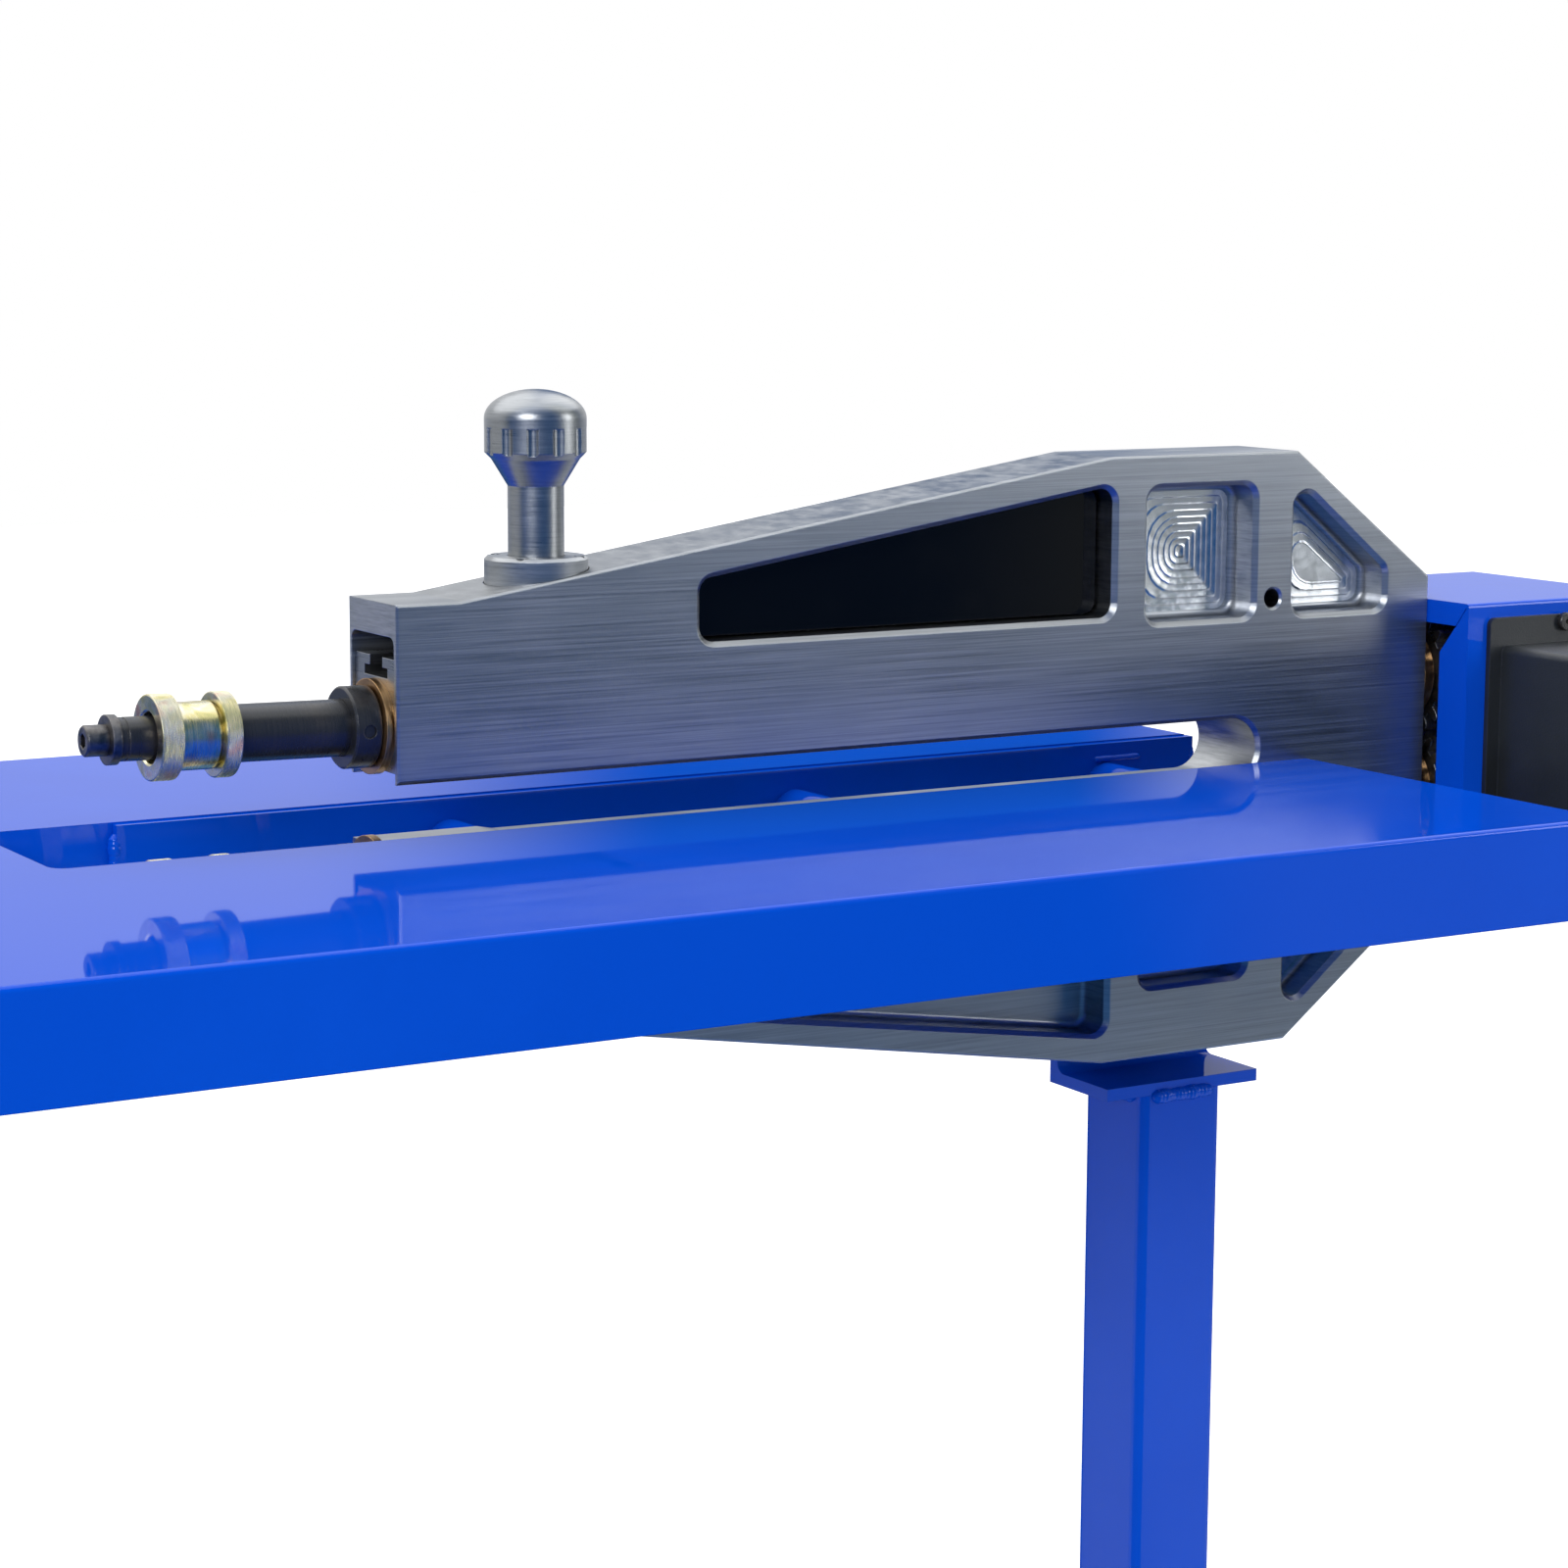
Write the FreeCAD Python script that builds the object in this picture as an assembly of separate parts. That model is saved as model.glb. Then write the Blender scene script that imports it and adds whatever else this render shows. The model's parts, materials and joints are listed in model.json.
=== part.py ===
import FreeCAD, Part
import math
import os

os.makedirs("parts", exist_ok=True)
V = FreeCAD.Vector

# All sizes are in millimetres. +X runs from the die end towards the drive end, +Y away from the
# operator and +Z up. The origin is on the floor, on the axis of the stand's post.

# Billet frame. Heights with no "Z" in their name are measured from the throat's datum line.
DATUM_Z = 1046.0
FRAME_Y = -25.4
FRAME_WIDTH = 50.8
NEAR_Y = FRAME_Y - FRAME_WIDTH / 2.0
BACK_Y = FRAME_Y + FRAME_WIDTH / 2.0
NOSE_X = -451.2
HEAD_LAND_X = -420.0
REAR_X = 132.6
TOP_FLAT = (-69.3, 45.0)
FRAME_HALF_HEIGHT = 150.7
REAR_HALF_HEIGHT = 84.0
UPPER_NOSE = 96.9
LOWER_NOSE = 88.2
EDGE_BREAK = 1.0

THROAT_TOP = 17.5
THROAT_FLOOR = -13.5
THROAT_END_X = 7.75
THROAT_RIM = 2.0
NOSE_LAND = -12.0
NOSE_LAND_X = (-390.0, -382.0)

POCKET_DEPTH = 19.05
POCKET_CORNER = 9.5
POCKET_RIM = 2.4
POCKET_FLOOR_FILLET = 3.0
LONG_POCKET = [(-301.4, 70.0), (-65.5, 70.0), (-65.5, 139.3), (-301.4, 103.1)]
SQUARE_POCKET = [(-49.5, 66.0), (20.8, 66.0), (20.8, 137.0), (-49.5, 137.0)]
LOWER_SQUARE_POCKET = [(-49.5, 66.0), (20.8, 66.0), (20.8, 117.0), (-49.5, 117.0)]
CORNER_POCKET = [(41.8, 66.0), (105.4, 66.0), (105.4, 90.6), (41.8, 141.9)]
SIDE_HOLE = (30.7, 77.2)
SIDE_HOLE_R = 4.68
SIDE_HOLE_DEPTH = 30.0
SIDE_HOLE_SINK = 1.2

# Name plate on standoffs over the pocket's floor.
PLATE_GAP = 1.2
PLATE_LIFT = 3.0
PLATE_T = 1.8
STANDOFF_R = 5.0
STANDOFF_INSET = 25.0
STANDOFF_HEIGHT = 84.0

# Shafts. The upper one rests with its front end raised by REST_TILT about the rear bearing.
LOWER_AXIS_Z = 1017.0
PIVOT_X = 122.5
PIVOT_Z = 1077.5
REST_TILT = 0.966
STUB_R = 9.525
GUIDE_R = 11.2
SHAFT_R = 12.7
RELIEF_R = 10.0
RELIEF_TAPER = 3.0
SHAFT_BREAK = 0.6
RUNNING_GAP = 0.05
SIDE_GAP = 0.3
STUB_X = (-571.5, -550.5)
STUB_GROOVE_X = (-568.5, -567.5)
STUB_GROOVE_DEPTH = 0.5
GUIDE_END_X = -519.7
RELIEF_X = (-409.0, 103.0)
LOWER_END_X = 202.5

# Keys stand this much out of the shafts; their grooves in the bored pieces are as deep.
KEY_SUNK = 2.0
SLEEVE_KEY_X = (-546.0, -534.0)
SLEEVE_KEY = (3.0, 1.2)
SLEEVE_GROOVE = (3.2, 1.5)
SLEEVE_GROOVE_X = -551.5
GEAR_KEY = (6.0, 2.5)
WHEEL_KEY = (6.0, 2.0)
KEY_INSET = 1.0

# End screws and washers of the shafts.
END_SCREW_R = 4.0
END_SCREW_HEAD_R = 6.8
END_SCREW_DEPTH = 20.0
END_SOCKET_R = 3.6
WASHER_T = 4.0
WASHER_BORE_R = 4.2
FRONT_WASHER_R = 10.85
FRONT_HEAD_LENGTH = 10.0
REAR_WASHER_R = 16.0
REAR_HEAD_LENGTH = 8.0

# Bearings and the tunnels between them.
TUNNEL_HALF = 11.5
TUNNEL_Z = (DATUM_Z + 19.3, DATUM_Z + 53.0)
TUNNEL_CORNER = 6.0
BUSH_R = 15.0
BUSH_FLANGE_R = 21.3
FLANGE_T = 4.0
BUSH_LENGTH = 45.0
REAR_FLANGE_R = 24.8
REAR_FLANGE_T = 6.0
BALL_R = 20.0
BALL_HALF_WIDTH = 12.0
SEAT_R = 22.0
SEAT_BORE_R = 16.2
REAR_BUSH_R = 17.0
REAR_BORE_X = PIVOT_X - BALL_R - 2.0

COLLAR_R = 18.3
COLLAR_LENGTH = 12.7
COLLAR_BREAK = 0.8
SET_SCREW_R = 3.0
SET_SCREW_LENGTH = 4.5

# Knurled die adjuster: a keyed sleeve with a front ring, and the lock ring that moves it.
RING_R = 18.8
RING_BREAK = 0.7
SLEEVE_R = 14.9
SLEEVE_BREAK = 0.6
TAIL_R = 13.2
SLEEVE_RING_X = (-556.5, -546.5)
SLEEVE_SHOULDER_X = -528.3
SLEEVE_TAIL_X = -523.1
LOCK_RING_X = (-527.5, -520.0)
LOCK_RING_INNER_X = -522.5
SPANNER_X = -523.6
SPANNER_R = 1.5
SPANNER_DEPTH = 3.5

# Bearing block, which slides in the window of the upper nose and hangs on the stud by a T-slot.
WINDOW_X = (-451.2, -326.0)
WINDOW_HALF_WIDTH = 22.3
WINDOW_TOP = 82.3
WINDOW_CORNER = 4.0
BLOCK_X = (-450.2, -331.0)
BLOCK_HALF_WIDTH = 22.0
BLOCK_TOP = 31.2
BLOCK_BOTTOM = -19.0
BLOCK_CLEARANCE = 0.8
SLOT_HALF = 12.2
SLOT_NECK_HALF = 6.7
SLOT_FLOOR = 22.2
SLOT_SHOULDER = 26.6
FOOT_HALF = 11.8
FOOT_GAP = 0.6
FOOT_TRAVEL = 2.0

# Height adjuster on the arm above the block.
STUD_X = -370.3
STUD_R = 8.0
STUD_NECK_R = 6.2
STUD_NECK_CLEAR = 1.5
STUD_TOP_Z = 1187.0
STUD_BORE_R = 11.0
SPOT_FACE_Z = 1146.5
SPOT_FACE_R = 24.0
CAP_R = 23.5
CAP_T = 13.0
CAP_BREAK = 1.5
CAP_RECESS = 7.0
CAP_SCREW_CIRCLE_R = 19.7
CAP_SCREW_HEAD_R = 2.75
CAP_SCREW_R = 1.75
CAP_SCREW_SUNK = 3.0
CAP_SCREW_LENGTH = 20.0
KNOB_FLANGE_R = 15.5
KNOB_FLANGE_T = 6.4
KNOB_NECK_R = 12.7
KNOB_R = 23.0
KNOB_TOP_Z = 1234.0
KNOB_DOME = 13.0
KNOB_BAND = (-15.0, -18.0, -30.0)
KNOB_THREAD_TOP_Z = 1174.0
KNOB_CAVITY_R = 9.0
GRIPS = 12
GRIP_R = 3.2
GRIP_CIRCLE_R = KNOB_R + 1.6
GRIP_BAND = (-16.0, -4.0)

# Gears.
GEAR_X = (142.5, 162.5)
GEAR_HUB_X = 139.2
GEAR_HUB_R = 17.0
GEAR_MODULE = 3.0
GEAR_TEETH = 20
GEAR_THINNING = 0.25
WORM_MODULE = 1.5
WHEEL_TEETH = 27
WHEEL_WIDTH = 14.0
WHEEL_TOOTH = (1.2, 1.9)
WHEEL_THINNING = 0.35
WORM_X = 195.2
WHEEL_X = (WORM_X - WHEEL_WIDTH / 2.0, WORM_X + WHEEL_WIDTH / 2.0)
WORM_LEAD = math.pi * WORM_MODULE
WORM_PITCH_R = DATUM_Z - LOWER_AXIS_Z - WORM_MODULE * WHEEL_TEETH / 2.0
WORM_TOOTH = (1.3, 1.9)
WORM_THINNING = 0.18
WORM_TURNS = 8.5
WORM_OVERLAP = 0.3
WORM_SHAFT_R = 5.0
WORM_SHAFT_LENGTH = 142.0
WORM_SHAFT_BEHIND = 18.0
PRESSURE_ANGLE = math.radians(20)

# Rear guard.
SHEET = 3.0
GUARD_X = (132.6, 257.5)
GUARD_Y = (-82.0, 58.0)
GUARD_HALF_HEIGHT = 72.0
GUARD_BEND_R = 2.0
GUARD_OPENING_Y = (-60.7, 9.9)
GUARD_OPENING = 60.0
OPENING_CUT = (12.0, 14.5)
SEAM = 0.5
REAR_LIP = 16.0
FRAME_SCREW_OFFSET = (18.0, 65.2)
COVER_SCREW_INSET = 9.0
COVER_SCREW_HEIGHT = 62.0
VENTS = 5
VENT_PITCH = 15.0
VENT_HALF = 2.0
VENT_INSET = 40.0

# Motor and its cover, on the operator's side of the guard.
COVER_HALF = (42.0, 50.0)
COVER_LENGTH = 190.0
COVER_FLANGE_HALF = (50.0, 64.3)
COVER_SHEET = 2.0
COVER_CORNER = 4.0
MOTOR_SCREW_OFFSET = 28.0
FLANGE_SCREW_HEIGHT = 60.5
MOTOR_PLATE_HALF = 36.0
MOTOR_PLATE_T = 6.0
MOTOR_R = 36.5
MOTOR_LENGTH = 140.0
MOTOR_BELL = (33.0, 24.0, 14.0)
MOTOR_PILOT_R = 11.7
GLAND_OFFSET = (15.0, -30.0)
GLAND_R = 8.0
GLAND_BORE_R = 4.0
GLAND_NUT = (22.0, 6.0)
GLAND_DOME = (9.5, 7.0, 12.0)
SUPPORT_Y = (26.0, GUARD_Y[1] - SHEET)
SUPPORT_HALF = 16.0
END_BUSH_R = 8.0
END_BUSH_LENGTH = 19.0

# Work table.
TABLE_X = (-857.5, 57.0)
TABLE_Y = (-268.8, 263.2)
TABLE_TOP_Z = 1040.2
TABLE_SKIRT = 46.0
TABLE_CORNER = 3.0
TABLE_BEND = 2.5
CUTOUT_X = -608.5
CUTOUT_Y = (-50.8, 53.2)
CUTOUT_CORNER = 8.0
BAR_START_X = -544.5
BAR_T = 6.0
BAR_Z = (1001.5, 1039.5)
TABLE_SPACER_R = 12.5
TABLE_BOLT_X = (-380.0, -190.0, 0.0)
TABLE_BOLT_GRIP = 10.5
BOLT_R = 5.0
BOLT_FLATS = 16.0
BOLT_HEAD = 6.4
HOLE_SPARE = 1.0

# Stand.
TUBE = 50.8
TUBE_HALF = TUBE / 2.0
TUBE_WALL = 3.2
TUBE_CORNER = 4.8
BRACKET_X = (-47.5, 48.0)
BRACKET_Z = 867.65
BRACKET_T = 6.35
BRACKET_LEG = 50.8
BRACKET_ROOT = 6.0
BRACKET_BOLT_X = (-18.0, 20.0)
BRACKET_BOLT_Z = 907.0
BRACKET_BOLT_GRIP = 21.0
SPACER_Z = (896.0, 918.0)
BASE_X = (-455.4, 325.4)
BASE_HALF_SPREAD = 300.0
ANCHOR_Y = 270.0
ANCHOR_R = 6.5
GUSSET = (110.0, 120.0, 12.0)
GUSSET_HALF_T = 3.0
END_CAP_T = 4.0
END_CAP_PLUG = 12.0


def box(x, y, z):
    return Part.makeBox(x[1] - x[0], y[1] - y[0], z[1] - z[0], V(x[0], y[0], z[0]))


def about(centre, half):
    return (centre - half, centre + half)


def rod(start, direction, radius, length):
    return Part.makeCylinder(radius, length, V(*start), V(*direction))


def fused(solids):
    return solids[0].multiFuse(solids[1:]).removeSplitter()


def cut_all(shape, cutters):
    for cutter in cutters:
        shape = shape.cut(cutter)
    return shape


def polygon_face(points):
    return Part.Face(Part.makePolygon(points + [points[0]]))


def upright_plate(outline, y_from, y_to):
    """A plate in the XZ plane from outline points (x, z)."""
    face = polygon_face([V(x, y_from, z) for x, z in outline])
    return face.extrude(V(0, y_to - y_from, 0))


def turned(outline, axis_z):
    """A body of revolution about a shaft line along X from outline points (x, radius)."""
    face = polygon_face([V(x, FRAME_Y, axis_z + r) for x, r in outline])
    return face.revolve(V(0, FRAME_Y, axis_z), V(1, 0, 0), 360)


def turned_upright(outline):
    """A body of revolution about the lift stud's line from outline points (radius, z)."""
    face = polygon_face([V(STUD_X + r, FRAME_Y, z) for r, z in outline])
    return face.revolve(V(STUD_X, FRAME_Y, 0), V(0, 0, 1), 360)


def edges_along(shape, direction, keep=lambda edge: True):
    axis = V(*direction)
    chosen = []
    for edge in shape.Edges:
        if edge.Curve.TypeId == "Part::GeomLine" and keep(edge):
            if abs(abs(edge.tangentAt(edge.FirstParameter).dot(axis)) - 1.0) < 1e-6:
                chosen.append(edge)
    return chosen


def edges_on_plane(shape, point, normal):
    return [e for e in shape.Edges if all(abs((v.Point - point).dot(normal)) < 1e-6 for v in e.Vertexes)]


def rounded_box(x, y, z, along, radius):
    solid = box(x, y, z)
    return solid.makeFillet(radius, edges_along(solid, along))


def raised(shape):
    """Turns a piece of the upper shaft from its level position to the rest pose."""
    shape = shape.copy()
    shape.rotate(V(PIVOT_X, FRAME_Y, PIVOT_Z), V(0, 1, 0), REST_TILT)
    return shape


def stay(shape):
    return shape


def save(name, *solids):
    shape = solids[0] if len(solids) == 1 else Part.Compound(list(solids))
    shape.exportStep("parts/" + name + ".step")


def hexagon(centre, axis, corner_r):
    side = V(0, 0, 1) if abs(axis.z) < 0.9 else V(1, 0, 0)
    across = axis.cross(side)
    corners = []
    for k in range(6):
        angle = math.radians(60 * k)
        corners.append(centre + side * corner_r * math.cos(angle) + across * corner_r * math.sin(angle))
    return polygon_face(corners)


def cap_screw(start, direction, head_r, head_length, shank_r, shank_length, socket_r):
    """Socket screw whose head starts at the seat, start, and whose shank goes along direction."""
    axis = V(*direction)
    seat = V(*start)
    head = Part.makeCylinder(head_r, head_length, seat, axis * -1)
    head = head.makeChamfer(head_r * 0.1, edges_on_plane(head, seat - axis * head_length, axis))
    shank = Part.makeCylinder(shank_r, shank_length, seat, axis)
    socket = hexagon(seat - axis * head_length, axis, socket_r).extrude(axis * head_length * 0.6)
    return head.fuse(shank).cut(socket).removeSplitter()


def hex_bolt(start, direction, across_flats, head_length, shank_r, shank_length):
    axis = V(*direction)
    seat = V(*start)
    head = hexagon(seat, axis, across_flats / math.sqrt(3.0)).extrude(axis * -head_length)
    return head.fuse(Part.makeCylinder(shank_r, shank_length, seat, axis))


def inset(outline, distance):
    """Moves every side of a convex outline, listed counterclockwise, inwards."""
    count = len(outline)
    normals = []
    for k in range(count):
        (x0, z0), (x1, z1) = outline[k], outline[(k + 1) % count]
        length = math.hypot(x1 - x0, z1 - z0)
        normals.append((-(z1 - z0) / length, (x1 - x0) / length))
    moved = []
    for k in range(count):
        (a0, a1), (b0, b1) = normals[k - 1], normals[k]
        share = distance / (1.0 + a0 * b0 + a1 * b1)
        moved.append((outline[k][0] + share * (a0 + b0), outline[k][1] + share * (a1 + b1)))
    return moved


def prism(outline, sign, corner_r, y_from, y_to):
    plate = upright_plate([(x, DATUM_Z + sign * z) for x, z in outline], y_from, y_to)
    return plate.makeFillet(corner_r, edges_along(plate, (0, 1, 0)))


def pocket_tools(outline, sign, face_y):
    """What a milled pocket removes: the deep part with a filleted floor, and the bevelled rim."""
    inwards = 1.0 if face_y < FRAME_Y else -1.0
    floor_y = face_y + inwards * POCKET_DEPTH
    outside_y = face_y - inwards * 2.0 * POCKET_RIM
    rim_y = face_y + inwards * POCKET_RIM
    normal = V(0, 1, 0)
    deep = prism(inset(outline, POCKET_RIM), sign, POCKET_CORNER - POCKET_RIM, outside_y, floor_y)
    deep = deep.makeFillet(POCKET_FLOOR_FILLET, edges_on_plane(deep, V(0, floor_y, 0), normal))
    rim = prism(outline, sign, POCKET_CORNER, outside_y, rim_y)
    rim = rim.makeChamfer(POCKET_RIM, edges_on_plane(rim, V(0, rim_y, 0), normal))
    return [deep, rim]


def throat_wire(y, grow):
    """The throat's outline in the plane at y, widened all round by grow."""
    top = DATUM_Z + THROAT_TOP + grow
    floor = DATUM_Z + THROAT_FLOOR - grow
    land = DATUM_Z + NOSE_LAND - grow
    middle = V(THROAT_END_X + (top - floor) / 2.0, y, (top + floor) / 2.0)
    path = [V(NOSE_X - 1, y, land), V(NOSE_LAND_X[0], y, land), V(NOSE_LAND_X[1], y, floor)]
    path.append(V(THROAT_END_X, y, floor))
    edges = [Part.LineSegment(a, b).toShape() for a, b in zip(path, path[1:])]
    edges.append(Part.Arc(path[-1], middle, V(THROAT_END_X, y, top)).toShape())
    edges.append(Part.LineSegment(V(THROAT_END_X, y, top), V(NOSE_X - 1, y, top)).toShape())
    edges.append(Part.LineSegment(V(NOSE_X - 1, y, top), path[0]).toShape())
    return Part.Wire(edges)


def frame_blank():
    top = DATUM_Z + FRAME_HALF_HEIGHT
    bottom = DATUM_Z - FRAME_HALF_HEIGHT
    outline = [
        (NOSE_X, DATUM_Z + UPPER_NOSE),
        (HEAD_LAND_X, DATUM_Z + UPPER_NOSE),
        (TOP_FLAT[0], top),
        (TOP_FLAT[1], top),
        (REAR_X, DATUM_Z + REAR_HALF_HEIGHT),
        (REAR_X, DATUM_Z - REAR_HALF_HEIGHT),
        (TOP_FLAT[1], bottom),
        (TOP_FLAT[0], bottom),
        (NOSE_X, DATUM_Z - LOWER_NOSE),
    ]
    blank = upright_plate(outline, NEAR_Y, BACK_Y)
    normal = V(0, 1, 0)
    outer_edges = edges_on_plane(blank, V(0, NEAR_Y, 0), normal)
    outer_edges += edges_on_plane(blank, V(0, BACK_Y, 0), normal)
    blank = blank.makeChamfer(EDGE_BREAK, outer_edges)
    cutters = [Part.Face(throat_wire(NEAR_Y, 0)).extrude(V(0, FRAME_WIDTH, 0))]
    for face_y, inwards in ((NEAR_Y, 1.0), (BACK_Y, -1.0)):
        mouth = throat_wire(face_y, THROAT_RIM)
        depth = throat_wire(face_y + inwards * THROAT_RIM, 0)
        cutters.append(Part.makeLoft([mouth, depth], True, True))
        for outline in (LONG_POCKET, SQUARE_POCKET, CORNER_POCKET):
            cutters += pocket_tools(outline, 1, face_y)
        for outline in (LONG_POCKET, LOWER_SQUARE_POCKET, CORNER_POCKET):
            cutters += pocket_tools(outline, -1, face_y)
    return cut_all(blank, cutters)


def make_frame():
    half = WINDOW_HALF_WIDTH
    window = box((WINDOW_X[0] - 1, WINDOW_X[1]), about(FRAME_Y, half), (DATUM_Z, DATUM_Z + WINDOW_TOP))
    top_edges = edges_along(window, (1, 0, 0), lambda e: e.Vertexes[0].Z > DATUM_Z + 1)
    tunnel_x = (WINDOW_X[1] - 1, PIVOT_X)
    x, z = SIDE_HOLE
    hole_z = DATUM_Z + z
    bore_length = REAR_X - REAR_BORE_X + 1
    sink_r = SIDE_HOLE_R + SIDE_HOLE_SINK
    sink = Part.makeCone(sink_r, SIDE_HOLE_R, SIDE_HOLE_SINK, V(x, NEAR_Y, hole_z), V(0, 1, 0))
    holes = [
        window.makeFillet(WINDOW_CORNER, top_edges),
        rounded_box(tunnel_x, about(FRAME_Y, TUNNEL_HALF), TUNNEL_Z, (1, 0, 0), TUNNEL_CORNER),
        rod((REAR_BORE_X, FRAME_Y, PIVOT_Z), (1, 0, 0), SEAT_R, bore_length),
        rod((NOSE_X - 1, FRAME_Y, LOWER_AXIS_Z), (1, 0, 0), BUSH_R, BUSH_LENGTH + 1),
        rod((NOSE_X, FRAME_Y, LOWER_AXIS_Z), (1, 0, 0), TUNNEL_HALF, PIVOT_X - NOSE_X),
        rod((REAR_BORE_X, FRAME_Y, LOWER_AXIS_Z), (1, 0, 0), REAR_BUSH_R, bore_length),
        rod((STUD_X, FRAME_Y, SPOT_FACE_Z), (0, 0, 1), SPOT_FACE_R, FRAME_HALF_HEIGHT),
        rod((STUD_X, FRAME_Y, DATUM_Z + WINDOW_TOP - 1), (0, 0, 1), STUD_BORE_R, CAP_SCREW_LENGTH),
        rod((x, NEAR_Y - 1, hole_z), (0, 1, 0), SIDE_HOLE_R, SIDE_HOLE_DEPTH + 1),
        sink,
    ]
    body = cut_all(frame_blank(), holes + frame_fastener_holes())
    save("frame_body", body.removeSplitter())


def cap_screw_places():
    places = []
    for k in range(4):
        angle = math.radians(45 + 90 * k)
        x = STUD_X + CAP_SCREW_CIRCLE_R * math.cos(angle)
        places.append((x, FRAME_Y + CAP_SCREW_CIRCLE_R * math.sin(angle)))
    return places


def guard_screw_places():
    dy, dz = FRAME_SCREW_OFFSET
    return [(y, z) for y in about(FRAME_Y, dy) for z in about(DATUM_Z, dz)]


def frame_fastener_holes():
    """Tapped holes for the pieces that bolt to the frame."""
    cap_depth = CAP_SCREW_LENGTH + CAP_SCREW_SUNK - CAP_T + HOLE_SPARE
    side_depth = TABLE_BOLT_GRIP + HOLE_SPARE
    bracket_depth = BRACKET_BOLT_GRIP + HOLE_SPARE
    z = LOWER_AXIS_Z
    holes = [rod((x, y, SPOT_FACE_Z), (0, 0, -1), CAP_SCREW_R, cap_depth) for x, y in cap_screw_places()]
    holes += [rod((REAR_X, y, z), (-1, 0, 0), 3.0, 12.0) for y, z in guard_screw_places()]
    holes += [rod((x, NEAR_Y, z), (0, 1, 0), BOLT_R, side_depth) for x in TABLE_BOLT_X]
    holes += [rod((x, BACK_Y, z), (0, -1, 0), BOLT_R, side_depth) for x in TABLE_BOLT_X]
    holes += [rod((x, BACK_Y, BRACKET_BOLT_Z), (0, -1, 0), BOLT_R, bracket_depth) for x in BRACKET_BOLT_X]
    return holes


def make_name_plate():
    """Bare black plate over the floor of the near long pocket."""
    gap = POCKET_RIM + PLATE_GAP
    back_y = NEAR_Y + POCKET_DEPTH - PLATE_LIFT
    plate = prism(inset(LONG_POCKET, gap), 1, POCKET_CORNER - gap, back_y - PLATE_T, back_y)
    ends = (LONG_POCKET[0][0] + STANDOFF_INSET, LONG_POCKET[1][0] - STANDOFF_INSET)
    z = DATUM_Z + STANDOFF_HEIGHT
    standoffs = [rod((x, back_y, z), (0, 1, 0), STANDOFF_R, PLATE_LIFT) for x in ends]
    save("name_plate", fused([plate] + standoffs))


def shaft_outline(end_x):
    """Half section: die seat with a ring groove, sleeve guide, journal and slimmer middle."""
    front, seat_end = STUB_X
    groove_front, groove_back = STUB_GROOVE_X
    relief_front, relief_back = RELIEF_X
    return [
        (front, 0),
        (front, STUB_R - SHAFT_BREAK),
        (front + SHAFT_BREAK, STUB_R),
        (groove_front, STUB_R),
        (groove_front, STUB_R - STUB_GROOVE_DEPTH),
        (groove_back, STUB_R - STUB_GROOVE_DEPTH),
        (groove_back, STUB_R),
        (seat_end, STUB_R),
        (seat_end, GUIDE_R),
        (GUIDE_END_X, GUIDE_R),
        (GUIDE_END_X, SHAFT_R),
        (relief_front, SHAFT_R),
        (relief_front + RELIEF_TAPER, RELIEF_R),
        (relief_back - RELIEF_TAPER, RELIEF_R),
        (relief_back, SHAFT_R),
        (end_x, SHAFT_R),
        (end_x, 0),
    ]


def key(x_range, axis_z, surface_r, size):
    """Rectangular key let into the top of a shaft; size is its width and how far it stands out."""
    width, stand_out = size
    z = axis_z + surface_r
    return box(x_range, about(FRAME_Y, width / 2.0), (z - KEY_SUNK, z + stand_out))


def keyway(x_range, axis_z, surface_r, size):
    width, depth = size
    return box(x_range, about(FRAME_Y, width / 2.0), (axis_z, axis_z + surface_r + depth))


def inset_range(x_range):
    return (x_range[0] + KEY_INSET, x_range[1] - KEY_INSET)


def shaft_keys(axis_z, lower):
    keys = [key(SLEEVE_KEY_X, axis_z, GUIDE_R, SLEEVE_KEY)]
    keys.append(key(inset_range(GEAR_X), axis_z, SHAFT_R, GEAR_KEY))
    if lower:
        keys.append(key(inset_range(WHEEL_X), axis_z, SHAFT_R, WHEEL_KEY))
    return keys


def end_fastener(end_x, axis_z, washer_r, head_length, inwards):
    """Washer and socket screw on a shaft end; inwards is the way the shank goes along X."""
    seat_x = end_x - inwards * WASHER_T
    outline = [(end_x, WASHER_BORE_R), (end_x, washer_r), (seat_x, washer_r), (seat_x, WASHER_BORE_R)]
    length = END_SCREW_DEPTH + WASHER_T
    seat = (seat_x, FRAME_Y, axis_z)
    screw = cap_screw(seat, (inwards, 0, 0), END_SCREW_HEAD_R, head_length, END_SCREW_R, length, END_SOCKET_R)
    return turned(outline, axis_z), screw


def make_shaft(name, axis_z, end_x, place, lower):
    shaft = turned(shaft_outline(end_x), axis_z)
    keys = shaft_keys(axis_z, lower)
    front_washer, front_screw = end_fastener(STUB_X[0], axis_z, FRONT_WASHER_R, FRONT_HEAD_LENGTH, 1)
    rear_washer, rear_screw = end_fastener(end_x, axis_z, REAR_WASHER_R, REAR_HEAD_LENGTH, -1)
    hole_depth = END_SCREW_DEPTH + HOLE_SPARE
    screw_holes = [
        rod((STUB_X[0], FRAME_Y, axis_z), (1, 0, 0), END_SCREW_R, hole_depth),
        rod((end_x, FRAME_Y, axis_z), (-1, 0, 0), END_SCREW_R, hole_depth),
    ]
    save(name + "_shaft", place(cut_all(shaft, keys + screw_holes)))
    save(name + "_shaft_keys", *[place(solid) for solid in keys])
    save(name + "_die_washer", place(front_washer))
    save(name + "_die_screw", place(front_screw))
    save(name + "_rear_retainer", place(rear_washer), place(rear_screw))


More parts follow.
